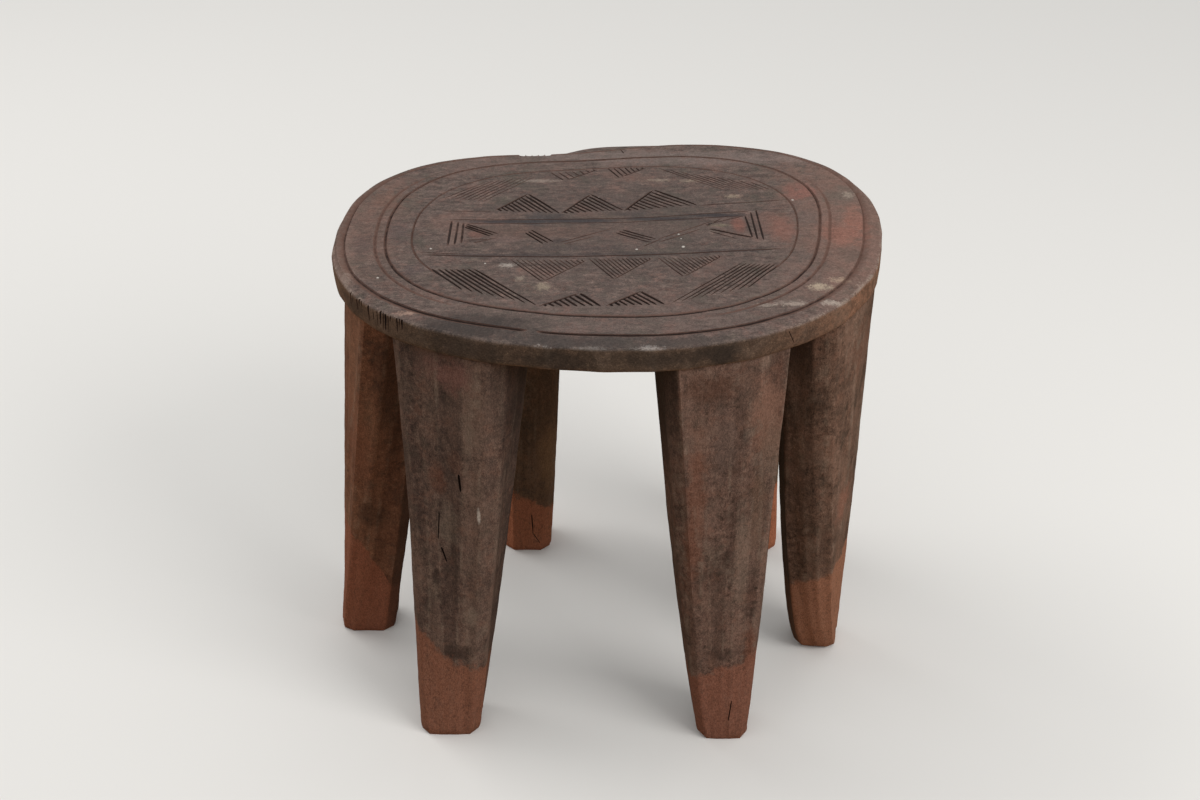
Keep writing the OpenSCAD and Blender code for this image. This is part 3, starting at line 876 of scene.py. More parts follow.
# %% [markdown]
# ## A leg
#
# Each leg grows from a squared-off foot to a head that fills its stretch of the rim. Both
# ends are ten-sided, since the carver took the corners off, and a point of the foot's outline
# runs up to the same point of the head's. The taper says how soon the leg widens: a taper of
# more than 1 stays slim for longer. The leg is a skin through many levels, each on its own
# mix of foot and head. One pass of smooth_vert takes the knife edge off the corners, with
# three more near the foot. The adze marks go on after that, because they must stay crisp. The
# adze ran down the leg, so its marks are long facets that narrow with the leg. They are laid
# out on a cylinder as far round as there are facets, and each point of the outline keeps its
# own line on that cylinder.

# %% Outlines of heads and feet
HEAD_SECTION = [(-0.8, 0), (-0.27, 0), (0.27, 0), (0.8, 0), (1, 0.22), (1, 0.75), (0.65, 1), (-0.65, 1),
                (-1, 0.75), (-1, 0.22)]
FOOT_SECTION = [(-0.72, 1), (-0.25, 1.05), (0.25, 1.05), (0.72, 1), (1, 0.6), (1, -0.6), (0.6, -1),
                (-0.6, -1), (-1, -0.6), (-1, 0.6)]


def rim_place(turn, inwards):
    """A place inside the rim, in a direction in degrees and a distance in mm."""
    return rim_inwards(inwards)(math.radians(turn)) + MIDDLE


def head_outline(turn, width, thickness, inwards):
    """Corners of a leg's head, under the rim."""
    spread = math.degrees(width / 2 * MM / (rim_place(turn, inwards) - MIDDLE).length)
    return [rim_place(turn + along * spread, inwards + into * thickness) for along, into in HEAD_SECTION]


def foot_outline(turn, inwards, width, thickness, facing):
    """Corners of a foot, on the floor."""
    middle = rim_place(turn, inwards)
    out = outwards(math.radians(facing))
    along = Vector((-out.y, out.x, 0))
    return [middle + (along * a * width + out * o * thickness) / 2 * MM for a, o in FOOT_SECTION]


def walk(outline, fractions):
    """Places at the given shares of the way along each side of an outline."""
    return [outline[side].lerp(outline[(side + 1) % len(outline)], share) for side, share in fractions]


print("a head 100 mm wide has", len(head_outline(232, 100, 60, 4)), "corners")

# %% [markdown]
# The feet were once dipped or wetted: below a slanting tide line they are redder. The height
# of each vertex above its leg's tide line is kept as the attribute "tide". The attribute
# "inner" tells how far a face looks towards the middle of the table, or sideways under the
# slab. The finish darkens those faces, partly for smoke and dirt that were never rubbed off,
# partly as painted shade where the slab and the other legs keep the light away.

# %% Build one hewn leg
STEP = 2.6 * MM
LEVELS = 132
FACETS_AROUND = 15
FACET_LENGTH = 0.3
LEG_HOLLOW, LEVEL_OF_HOLLOW = 1.9 * MM, 0.4
LEG_WAVE, WAVE_LENGTH = 0.4 * MM, 0.05
LEG_DENT, DENT_LENGTH = 0.25 * MM, 0.011
INTO_SLAB = 3 * MM
FOOT_WEAR = 1.8 * MM
FOOT_WEAR_HEIGHT = 4 * MM
WORN_LEVELS = 9
# Above this share of the leg's height, faces that look sideways are darkened too: grime, and painted shade
# under the slab
SHADE_AND_GRIME_FROM = 0.55
TIDE_SCALE = 100 * MM


def height_at(points, x):
    """Height of a line through points at a place along it."""
    if x <= points[0][0]:
        return points[0][1]
    for (x_a, z_a), (x_b, z_b) in zip(points, points[1:]):
        if x <= x_b:
            return z_a + (z_b - z_a) * (x - x_a) / (x_b - x_a)
    return points[-1][1]


def leg_skin(head, foot, taper):
    """The smooth skin of a leg: its bmesh, its layers, and the vertices of its wall in loops."""
    fractions = []
    for side in range(len(head)):
        pieces = max(3, round((head[(side + 1) % len(head)] - head[side]).length / STEP))
        fractions += [(side, part / pieces) for part in range(pieces)]
    low, high = walk(foot, fractions), walk(head, fractions)
    sections = []
    for level in range(LEVELS + 1):
        height = level / LEVELS * UNDER_Z
        share = (level / LEVELS) ** taper
        section = [bottom.lerp(top, share) for bottom, top in zip(low, high)]
        centre = sum(section, Vector()) / len(section)
        wear = FOOT_WEAR * max(0.0, 1 - height / FOOT_WEAR_HEIGHT) ** 2
        up = Vector((0, 0, height + (INTO_SLAB if level == LEVELS else 0)))
        sections.append([place + (centre - place).normalized() * wear + up for place in section])
    body, layer = new_body()
    loops = grow(body, sections)
    bmesh.ops.recalc_face_normals(body, faces=body.faces)
    wall = [v for loop in loops[2:-1] for v in loop]
    near_foot = [v for loop in loops[1:WORN_LEVELS] for v in loop]
    for chosen in (wall, near_foot, near_foot, near_foot):
        bmesh.ops.smooth_vert(body, verts=chosen, factor=0.5, use_axis_x=True, use_axis_y=True)
    body.normal_update()
    return body, layer, wall, len(fractions)


def hew_leg(name, head, foot, taper, seed, tide, cracks):
    """One leg; a crack is a start and an end on its front, from the left and up, a width and a depth."""
    body, layer, wall, around = leg_skin(head, foot, taper)
    moves = {}
    radius = FACETS_AROUND / math.tau
    for number, vert in enumerate(wall):
        turn = math.tau * (number % around) / around
        facet_place = outwards(turn) * radius + Vector((0, 0, vert.co.z / FACET_LENGTH))
        hollow, vert[layer["ridge"]], vert[layer["facet"]] = adze_mark(facet_place, (1, 1, 1), seed)
        uneven = LEG_WAVE * waver(vert.co, WAVE_LENGTH, seed) + LEG_DENT * waver(vert.co, DENT_LENGTH, seed)
        moves[vert] = vert.normal * (LEG_HOLLOW * (LEVEL_OF_HOLLOW - hollow) + uneven)
        moves[vert].z = 0
    for vert in body.verts:
        towards = (MIDDLE - Vector((vert.co.x, vert.co.y, 0))).normalized()
        sideways = Vector((math.copysign(1, towards.x), 0, 0))
        under_slab = max(0.0, vert.co.z / UNDER_Z - SHADE_AND_GRIME_FROM) / (1 - SHADE_AND_GRIME_FROM)
        # How far the face looks inwards; the finish darkens it for grime and as painted shade
        vert[layer["inner"]] = max(0.0, vert.normal.dot(towards), vert.normal.dot(sideways) * under_slab)
        vert[layer["tide"]] = (vert.co.z - height_at(tide, vert.co.x / MM) * MM) / TIDE_SCALE
    for vert, move in moves.items():
        vert.co += move
    if not cracks:
        return finish_mesh(name, body)
    front = bvhtree.BVHTree.FromBMesh(body)
    backwards = Vector((0, 1, 0))
    cutters = bmesh.new()
    for start, end, width, depth in cracks:
        ends = [front.ray_cast(Vector((x * MM, -1, z * MM)), backwards)[0] for x, z in (start, end)]
        stroke(*ends, width, depth, into=cutters, down=backwards)
    return cut_away(name, body, [cutters])


print("levels of", round(UNDER_Z / LEVELS / MM, 2), "mm")

# %% Hew the six legs
FRONT, BACK, LEFT, RIGHT = 270, 90, 180, 356
# Head: direction, width, thickness, inset; foot: direction, inset, width, thickness, facing; taper and seed
LEG_SHAPES = {
    "leg_front_left": ((232, 113, 58, 4), (227, 12, 53, 44, FRONT), 0.9, 2.3),
    "leg_front_right": ((301, 109, 64, 3), (306, 24, 44, 44, FRONT), 0.8, 5.1),
    "leg_left": ((198, 94, 60, 9), (181, 1, 41, 50, LEFT), 1.0, 7.7),
    "leg_right": ((339, 112, 58, 2.5), (352, 27, 38, 37, RIGHT), 0.6, 9.4),
    "leg_back_left": ((126, 90, 60, 4), (127, 39, 47, 44, BACK), 1.0, 12.6),
    "leg_back_right": ((50, 96, 60, 4), (42, 37, 48, 44, BACK), 1.1, 14.9),
}
TIDE_LINES = {
    "leg_front_left": [(-152, 118), (-141, 104), (-130, 90), (-116, 85), (-96, 78)],
    "leg_front_right": [(84, 77), (106, 84), (125, 88), (138, 96)],
    "leg_left": [(-250, 175), (-210, 120), (-190, 60)],
    "leg_right": [(174, 95), (226, 122)],
    "leg_back_left": [(-85, 77), (-63, 62), (-46, 55)],
    "leg_back_right": [(140, 70), (180, 80)],
}
LEG_CRACKS = {
    "leg_front_left": [((-127, 240), (-129, 212), 1.1, 3), ((-127, 205), (-123, 190), 1.8, 3),
                       ((-109, 281), (-108, 264), 2.4, 2.5)],
    "leg_front_right": [((118, 46), (116, 22), 1.2, 3)],
    "leg_back_left": [((-65, 46), (-64, 22), 1.4, 3), ((-65, 24), (-57, 9), 1.2, 3)],
}
legs = {}
for name, (head, foot, taper, seed) in LEG_SHAPES.items():
    legs[name] = hew_leg("hewn_" + name, head_outline(*head), foot_outline(*foot), taper, seed,
                         TIDE_LINES[name], LEG_CRACKS.get(name, ()))
    print(name, len(legs[name].data.vertices), "vertices")

# %% [markdown]
# ## The finish
#
# The wood is matt and dusty, and its colours are close to each other, so most of its look
# comes from many faint changes of tone on top of each other. Two effects are shared by the top
# and the legs, so each is a node group that is built once. The first gives the grain at five
# sizes: pores, specks, fibres, mottles and blotches. It reads the Object coordinates, so that
# the grain belongs to the block and runs through it. Stretch packs fibres and pores across it.

# %% Node group: the grain at five sizes
FLOAT, VECTOR = "NodeSocketFloat", "NodeSocketVector"
# Scale, detail and roughness of each noise
STREAK_NOISE, PORE_NOISE = (1.0, 4.0, 0.62), (1.0, 3.0, 0.8)
SPECK_NOISE, MOTTLE_NOISE, BLOTCH_NOISE = (1100.0, 2.0, 0.7), (210.0, 4.0, 0.65), (22.0, 5.0, 0.62)


def new_group(name, inputs, outputs):
    """An empty node group; each input is a kind of socket and a value."""
    group = bpy.data.node_groups.new(name, "ShaderNodeTree")
    for label, (kind, value) in inputs.items():
        group.interface.new_socket(label, in_out="INPUT", socket_type=kind).default_value = value
    for label in outputs:
        group.interface.new_socket(label, in_out="OUTPUT", socket_type=FLOAT)
    return group, group.nodes.new("NodeGroupInput").outputs, group.nodes.new("NodeGroupOutput").inputs


def cloud(tree, place, scale, detail, roughness):
    """A noise texture's value."""
    return place_node(tree, "ShaderNodeTexNoise", {
        "Vector": place, "Scale": scale, "Detail": detail, "Roughness": roughness}).outputs["Fac"]


def measure(tree, operation, first, second=None):
    """The outputs of one Vector Math node."""
    inputs = {0: first} if second is None else {0: first, 1: second}
    return place_node(tree, "ShaderNodeVectorMath", inputs, operation=operation).outputs


wood_group, given, gives = new_group(
    "wood_grain", {"Stretch": (VECTOR, (200, 200, 200)), "Pore Stretch": (VECTOR, (900, 900, 900))},
    ("Streak", "Speck", "Mottle", "Blotch", "Pore", "Height"))
place = object_place(wood_group)
streak = cloud(wood_group, measure(wood_group, "MULTIPLY", place, given["Stretch"])[0], *STREAK_NOISE)
pore = cloud(wood_group, measure(wood_group, "MULTIPLY", place, given["Pore Stretch"])[0], *PORE_NOISE)
speck = cloud(wood_group, place, *SPECK_NOISE)
mottle = cloud(wood_group, place, *MOTTLE_NOISE)
grain_values = {
    "Streak": streak,
    "Speck": speck,
    "Mottle": mottle,
    "Blotch": cloud(wood_group, place, *BLOTCH_NOISE),
    "Pore": weigh(wood_group, (speck, 0.4), (pore, 0.6)),
    "Height": weigh(wood_group, (mottle, 0.5), (speck, 0.4), (streak, 0.6)),
}
for label, value in grain_values.items():
    wood_group.links.new(value, gives[label])
print("wood_grain gives", list(grain_values))

# %% [markdown]
# The second group is one soft patch: a place that was rubbed, stained, chalky or sooty. It
# measures how far a point is from the patch's centre, in half sizes, and a noise that comes
# from outside makes its edge ragged. A patch is only a centre, a size and a colour, so the
# handling marks of the whole table can be written as tables.

# %% Node group: a soft patch at one place
PATCH_FROM, PATCH_TO = 1.25, 0.35

patch_group, given, gives = new_group(
    "soft_patch", {"Centre": (VECTOR, (0, 0, 0)), "Half Size": (VECTOR, (0.02, 0.02, 0.02)),
                   "Rough": (FLOAT, 0.5), "Ragged": (FLOAT, 2.0), "Share": (FLOAT, 1.0)}, ("Mask",))
away = measure(patch_group, "SUBTRACT", object_place(patch_group), given["Centre"])[0]
away_in_sizes = measure(patch_group, "DIVIDE", away, given["Half Size"])[0]
reach = measure(patch_group, "LENGTH", away_in_sizes)["Value"]
rough_edge = reckon(patch_group, "MULTIPLY", reckon(patch_group, "SUBTRACT", given["Rough"], 0.5),
                    given["Ragged"])
soft = fade(patch_group, reckon(patch_group, "ADD", reach, rough_edge), PATCH_FROM, PATCH_TO)
patch_group.links.new(reckon(patch_group, "MULTIPLY", soft, given["Share"]), gives["Mask"])


def lay_patches(tree, rough, colour, table):
    """Lays patches over a colour; a row holds centre, half sizes, raggedness, tone and share."""
    for *places, ragged, red, green, blue, share in table:
        places = [place * MM for place in places]
        mask = place_node(tree, "ShaderNodeGroup", {
            "Centre": places[:3], "Half Size": places[3:], "Rough": rough,
            "Ragged": ragged, "Share": share}, node_tree=patch_group).outputs["Mask"]
        colour = tint(tree, mask, colour, paint(red, green, blue))
    return colour


print("a patch fades from", PATCH_TO, "to", PATCH_FROM, "half sizes from its centre")

# %% [markdown]
# ## What every wood here shares
#
# A material starts from three close tones, mixed by the mottles, fibres and specks. It ends
# with the dark of the cuts, which is partly dirt and partly painted shade, the roughness and
# the bump. Dusty wood has almost no sheen, and a face seen at a low angle would look milky
# with the usual specular level, so it is low here.

# %% Start and finish a wood material
SPECULAR = 0.12
BUMP_DISTANCE = 0.7 * MM
SMOOTHEST, ROUGHEST = 0.7, 0.9


def attribute(tree, name):
    """A value that was stored on the mesh."""
    return place_node(tree, "ShaderNodeAttribute", attribute_name=name).outputs["Fac"]


def start_material(name, stretch, pore_stretch):
    """A Principled material with the grain in place."""
    look = bpy.data.materials.new(name)
    look.use_nodes = True
    tree = look.node_tree
    inputs = {"Stretch": stretch, "Pore Stretch": pore_stretch}
    grain = place_node(tree, "ShaderNodeGroup", inputs, node_tree=wood_group).outputs
    shader = tree.nodes["Principled BSDF"]
    shader.inputs["Specular IOR Level"].default_value = SPECULAR
    return look, tree, shader, grain


def bare_wood(tree, grain, dark, middle, light, streaks):
    """Three close tones, mixed by the grain."""
    mixed = weigh(tree, (grain["Mottle"], 0.9 - streaks), (grain["Streak"], streaks), (grain["Speck"], 0.25))
    return lay_tones(tree, dark, [(mixed, 0.46, 0.57, 1, middle), (mixed, 0.57, 0.72, 1, light)])


def unsettle(tree, value, rough, amount):
    """A value that a noise around 0.5 moves up and down."""
    return reckon(tree, "MULTIPLY_ADD", reckon(tree, "SUBTRACT", rough, 0.5), amount, value)


def overlap(tree, mask, *others):
    """The product of masks, which is white only where all of them are."""
    for other in others:
        mask = reckon(tree, "MULTIPLY", mask, other)
    return mask


def finish_material(tree, shader, colour, grain, slope_tone, cut_dirt_and_shade, pores, bump):
    """Pores, cuts darkened for dirt and painted shade, roughness and bump."""
    pore = fade(tree, grain["Pore"], 0.34, 0.66, 1 - pores, 1 + pores)
    colour = tint(tree, 1.0, colour, pore, blend="MULTIPLY")
    # The cuts darken with depth: soot and dust, and painted shade in the hollows
    cut = unsettle(tree, attribute(tree, "cut"), grain["Mottle"], 0.5)
    colour = lay_tones(tree, colour, [(cut, 0.05, 0.3, 0.8, slope_tone), (cut, 0.3, 0.62, 1, cut_dirt_and_shade)])
    raised = place_node(tree, "ShaderNodeBump", {
        "Height": grain["Height"], "Strength": bump, "Distance": BUMP_DISTANCE}).outputs["Normal"]
    roughness = fade(tree, grain["Mottle"], 0.3, 0.7, SMOOTHEST, ROUGHEST)
    for name, value in (("Base Color", colour), ("Roughness", roughness), ("Normal", raised)):
        tree.links.new(value, shader.inputs[name])


print("specular level", SPECULAR)

# %% [markdown]
# ## The material of the top
#
# The field is a dusty grey-brown that reddens towards the right end and inside the panel.
# The colours go on in the order in which the table got them: bare wood, stain, soot, dust and
# wear; the pale band along the rim's edge is partly wear and partly a painted highlight. The
# tables give each patch's place from the top's middle, its half size, how ragged its edge is,
# its colour and its share.

# %% Tables of the stains, soot and scuffs on the top
# Place from the top's middle, half sizes in mm, raggedness, red, green and blue (0 to 255), and share
STAINS = [
    (205, 0, 70, 190, 2.4, 122, 95, 84, 0.7), (-215, 10, 50, 120, 2.4, 110, 87, 77, 0.5),
    (-20, -150, 170, 40, 1.8, 98, 84, 78, 0.55), (-62, 0, 70, 16, 2.2, 104, 80, 70, 0.55),
    (40, 6, 50, 13, 2.4, 106, 86, 77, 0.4), (106, 13, 7, 15, 1.2, 130, 84, 72, 0.8),
    (136, 15, 15, 34, 2.0, 116, 86, 76, 0.5), (-115, -5, 8, 8, 1.2, 118, 82, 72, 0.7),
    (-90, -16, 16, 6, 2.0, 124, 101, 94, 0.55), (18, 24, 60, 9, 1.6, 96, 80, 70, 0.5),
    (165, 78, 16, 16, 2.6, 134, 88, 78, 0.6), (142, 6, 12, 26, 2.6, 130, 88, 76, 0.55),
    (192, -4, 22, 26, 2.6, 138, 92, 78, 0.6), (206, 27, 10, 34, 2.6, 140, 94, 80, 0.5),
    (200, 68, 20, 20, 2.6, 94, 86, 78, 0.6), (166, 25, 14, 16, 2.6, 96, 84, 78, 0.55),
    (150, -45, 24, 12, 2.6, 92, 80, 74, 0.6), (193, -42, 14, 16, 2.6, 96, 80, 72, 0.5),
    (-209, -28, 14, 22, 2.6, 84, 70, 66, 0.55), (-180, 0, 14, 24, 2.6, 84, 72, 70, 0.5),
    (-160, -68, 14, 12, 2.6, 84, 72, 70, 0.5), (-196, 62, 16, 22, 2.6, 116, 86, 74, 0.5),
    (-132, -3, 9, 23, 1.2, 120, 97, 87, 0.6), (150, -95, 40, 50, 2.5, 112, 92, 84, 0.45),
    (60, 150, 170, 18, 2.0, 120, 106, 100, 0.6), (-222, -60, 12, 60, 1.4, 130, 106, 95, 0.45),
    (-120, 135, 60, 26, 2.0, 108, 91, 84, 0.5),
]
SOOT = [
    (0, 10, 150, 110, 3.0, 78, 69, 65, 0.35), (-92, 18.5, 34, 4, 0.9, 56, 52, 53, 0.85),
    (-30, 20, 42, 5, 0.9, 58, 54, 55, 0.85), (38, 24, 36, 5, 0.9, 58, 54, 55, 0.8),
    (88, 30, 32, 4.5, 0.9, 56, 52, 53, 0.85), (-63, 22, 12, 14, 1.8, 62, 59, 60, 0.65),
    (-48, 30, 14, 6, 2.0, 66, 61, 60, 0.5), (15, 33, 16, 6, 2.0, 66, 61, 60, 0.45),
    (-30, -31, 50, 5, 1.8, 72, 64, 62, 0.45), (60, 42, 34, 5, 2.0, 78, 72, 66, 0.4),
    (-45, -17, 10, 5, 2.0, 62, 54, 52, 0.6), (-92, -36, 16, 6, 2.4, 66, 58, 56, 0.5),
    (-87, -54, 12, 6, 2.4, 66, 58, 56, 0.5), (-90, -44, 56, 4.5, 1.6, 62, 55, 54, 0.6),
    (10, -42, 60, 5, 1.6, 64, 57, 55, 0.6), (96, -36, 44, 4.5, 1.6, 66, 58, 56, 0.55),
    (-40, -118, 40, 14, 2.6, 76, 67, 63, 0.35), (-110, -92, 26, 26, 4.5, 74, 66, 62, 0.35),
    (-112, -163, 62, 24, 1.8, 56, 50, 47, 0.8), (-40, -183, 90, 13, 1.8, 62, 56, 53, 0.75),
    (70, -183, 70, 12, 2.2, 68, 61, 57, 0.65),
]
SCUFFS = [
    (-86, -61, 7, 4, 4.5, 168, 158, 148, 0.6), (-74, -84, 4, 5, 4.5, 152, 138, 122, 0.5),
    (-56, -97, 6, 7, 4.5, 158, 142, 122, 0.5), (-66, 100, 17, 3, 4.5, 150, 136, 124, 0.5),
    (42, 102, 12, 3, 4.5, 150, 134, 118, 0.45), (68, 100, 9, 3, 4.5, 152, 136, 118, 0.45),
    (104, 68, 7, 4, 4.5, 152, 136, 116, 0.5), (91, 11, 9, 3, 4.5, 128, 118, 98, 0.45),
    (163, -98, 9, 6, 4.5, 178, 160, 138, 0.65), (180, -86, 8, 5, 4.5, 166, 142, 122, 0.6),
    (206, 71, 5, 8, 4.5, 160, 144, 130, 0.5), (139, -125, 14, 4, 4.5, 162, 146, 134, 0.6),
    (169, -121, 13, 4, 4.5, 166, 152, 140, 0.65), (200, -96, 7, 9, 4.5, 160, 142, 128, 0.6),
    (118, -127, 9, 3, 4.5, 156, 142, 130, 0.5), (-158, -138, 12, 3, 4.5, 164, 134, 118, 0.6),
    (-212, -80, 6, 10, 4.5, 150, 130, 118, 0.5), (-57, -189, 9, 4, 4.5, 162, 154, 148, 0.65),
    (26, -190, 10, 4, 4.5, 156, 148, 142, 0.6), (-20, -190, 14, 3, 4.5, 130, 122, 116, 0.5),
]
# On the side of the slab the third number is the height above the floor
SIDE_BLACK = (48, 41, 36)
SIDE_SOOT = [
    (-112, -165, 401, 42, 50, 13, 1.8, *SIDE_BLACK, 0.6), (-45, -186, 399, 36, 40, 8, 2.2, *SIDE_BLACK, 0.65),
    (38, -188, 402, 44, 40, 7, 2.2, *SIDE_BLACK, 0.6), (82, -180, 400, 18, 40, 13, 2.2, *SIDE_BLACK, 0.8),
    (-200, -90, 400, 22, 40, 10, 2.4, *SIDE_BLACK, 0.5), (150, -130, 398, 12, 40, 9, 2.0, *SIDE_BLACK, 0.3),
]
# Place from the top's middle and half size
CHALK = (206, 198, 188)
CHALK_SPECKS = [
    (-13, 65.3, 1.4), (19.3, -32.7, 1.2), (54.7, -5.2, 0.9), (56.5, -13.4, 0.6), (57.7, -28.3, 1.4),
    (-150.2, -31.9, 1.1), (-188.1, -82.5, 1.1), (156.5, 61.3, 1.1), (-104, -58, 0.9),
]
print(len(STAINS), "stains,", len(SOOT), "sooty places,", len(SCUFFS), "scuffs,", len(CHALK_SPECKS), "specks")

# %% Material of the top
TOP_STRETCH, TOP_PORES = (90, 260, 260), (420, 900, 900)
TOP_TONES = (paint(74, 62, 57), paint(93, 79, 73), paint(114, 97, 89))
# The tone on the slopes of the cuts, and the dark in the cuts, which is dirt and painted shade
TOP_SLOPES, TOP_CUT_DIRT_AND_SHADE = paint(94, 68, 58), paint(48, 38, 34)
TOP_STREAKS, TOP_PORE_DEPTH, TOP_BUMP = 0.5, 0.32, 0.4
HAND_NOISE, FINE_NOISE = (60.0, 5.0, 0.7), (330.0, 6.0, 0.8)
CHALK_NOISE, HUE_NOISE = (700.0, 2.0, 0.6), (110.0, 6.0, 0.75)
PATCH_REACH = 30
SPECK_LENGTH, SPECK_RAGGED, SPECK_SHARE = 1.3, 1.2, 0.7
LIP_FROM, LIP_TO = 392.6 * MM, 390.8 * MM


def from_middle(table):
    """Rows counted from the top's middle, turned into places in the frame."""
    return [(x + MIDDLE.x / MM, y + MIDDLE.y / MM, *rest) for x, y, *rest in table]


def on_face(table):
    """Rows for the carved face, turned into places in the frame."""
    return from_middle([(x, y, TOP_Z / MM, half_x, half_y, PATCH_REACH, *rest)
                        for x, y, half_x, half_y, *rest in table])


top_look, tree, shader, grain = start_material("top_end_grain", TOP_STRETCH, TOP_PORES)
place = object_place(tree)
hand_rough = cloud(tree, place, *HAND_NOISE)
fine_rough = cloud(tree, place, *FINE_NOISE)
speck_rough = cloud(tree, place, *CHALK_NOISE)
hue = cloud(tree, place, *HUE_NOISE)
# Each row: what decides, where the tone starts and where it is full, its share and the tone
colour = lay_tones(tree, bare_wood(tree, grain, *TOP_TONES, TOP_STREAKS), [
    (grain["Blotch"], 0.5, 0.68, 0.6, paint(114, 89, 80)),
    (grain["Blotch"], 0.48, 0.34, 0.55, paint(80, 74, 66)),
])
colour = lay_patches(tree, hand_rough, colour, on_face(STAINS))
colour = lay_tones(tree, colour, [
    (hue, 0.5, 0.68, 0.3, paint(130, 95, 84)),
    (hue, 0.5, 0.32, 0.34, paint(86, 80, 70)),
])
fibres = weigh(tree, (grain["Mottle"], 0.4), (grain["Streak"], 0.6))
colour = tint(tree, 1.0, colour, fade(tree, fibres, 0.38, 0.62, 0.93, 1.06), blend="MULTIPLY")
colour = lay_patches(tree, hand_rough, colour, on_face(SOOT))
colour = lay_patches(tree, fine_rough, colour, on_face(SCUFFS))

apart = place_node(tree, "ShaderNodeSeparateXYZ", {0: place}).outputs
side_tone = lay_tones(tree, paint(74, 61, 51), [
    (apart["X"], 0.10, 0.235, 1.0, paint(142, 104, 83)),
    (apart["X"], -0.13, -0.21, 1.0, paint(112, 87, 70)),
    (grain["Blotch"], 0.46, 0.62, 0.35, paint(98, 76, 62)),
    (grain["Mottle"], 0.56, 0.4, 0.5, paint(52, 42, 35)),
    (fine_rough, 0.52, 0.66, 0.6, paint(128, 106, 88)),
    (attribute(tree, "facet"), 0.0, 1.0, 0.32, paint(108, 88, 74)),
])
ridges = reckon(tree, "MULTIPLY", attribute(tree, "ridge"), 0.2)
side_tone = tint(tree, ridges, side_tone, paint(122, 106, 94))
side_tone = lay_patches(tree, hand_rough, side_tone, from_middle(SIDE_SOOT))
lip = overlap(tree, fade(tree, apart["Z"], LIP_FROM, LIP_TO, 0.0, 0.6), fade(tree, hand_rough, 0.4, 0.55))
side_tone = tint(tree, lip, side_tone, paint(118, 94, 76))
side = attribute(tree, "side")
colour = tint(tree, fade(tree, side, 0.45, 0.9), colour, side_tone)
# A pale band along the rim's edge, strongest at the two ends: partly wear, partly a painted highlight where
# the rounded edge catches the light
at_end = fade(tree, reckon(tree, "ABSOLUTE", apart["X"]), 0.1, 0.2, 0.22, 1.0)
wear_and_highlight_places = fade(tree, weigh(tree, (hand_rough, 0.5), (fine_rough, 0.5)), 0.47, 0.56, 0.0, 0.85)
edge_wear_and_highlight = overlap(tree, fade(tree, side, 0.05, 0.4), fade(tree, side, 0.98, 0.6), at_end, wear_and_highlight_places)
colour = tint(tree, edge_wear_and_highlight, colour, paint(142, 124, 112))
specks = [(x, y, size, SPECK_LENGTH * size, SPECK_RAGGED, *CHALK, SPECK_SHARE)
          for x, y, size in CHALK_SPECKS]
colour = lay_patches(tree, speck_rough, colour, on_face(specks))
finish_material(tree, shader, colour, grain, TOP_SLOPES, TOP_CUT_DIRT_AND_SHADE, TOP_PORE_DEPTH, TOP_BUMP)
carved_top.data.materials.append(top_look)
print("top material:", len(tree.nodes), "nodes")

# %% [markdown]
# ## The material of the legs
#
# The legs are darker and browner than the top. Every leg has its own tones: the two at the
# left are redder and the back ones are sooty, with their feet painted lighter to make up for
# the shade they stand in, which is painted light. Below the tide line the wood is a dull red.
# Ridges between adze marks are rubbed paler. The faces that look inwards are darkened, partly
# for grime and partly as painted shade under the slab and between the legs. The legs
# therefore share one recipe, and a table gives each leg's tones.

# %% Tables of the legs' tones and marks
# Dark, middle and light wood, the foot (all 0 to 255), and the share of grime and painted shade on faces that
# look inwards
# The back legs' foot tone is painted lighter than the other feet to make up for the shade they stand in:
# painted light
BACK_TONES_LIT_FEET = ((72, 57, 44), (96, 74, 58), (118, 92, 72), (164, 104, 77), 0.3)
LEG_TONES = {
    "leg_front_left": ((58, 46, 42), (88, 70, 62), (116, 95, 84), (128, 86, 68), 0.6),
    "leg_front_right": ((62, 48, 41), (96, 74, 65), (124, 100, 88), (126, 84, 68), 0.85),
    "leg_left": ((84, 57, 44), (114, 77, 59), (140, 102, 80), (138, 88, 68), 0.85),
    "leg_right": ((66, 51, 42), (100, 77, 65), (134, 107, 92), (146, 102, 80), 0.8),
    "leg_back_left": BACK_TONES_LIT_FEET,
    "leg_back_right": BACK_TONES_LIT_FEET,
}
RED, PALE, BLACK = (118, 74, 56), (136, 122, 108), (38, 31, 27)
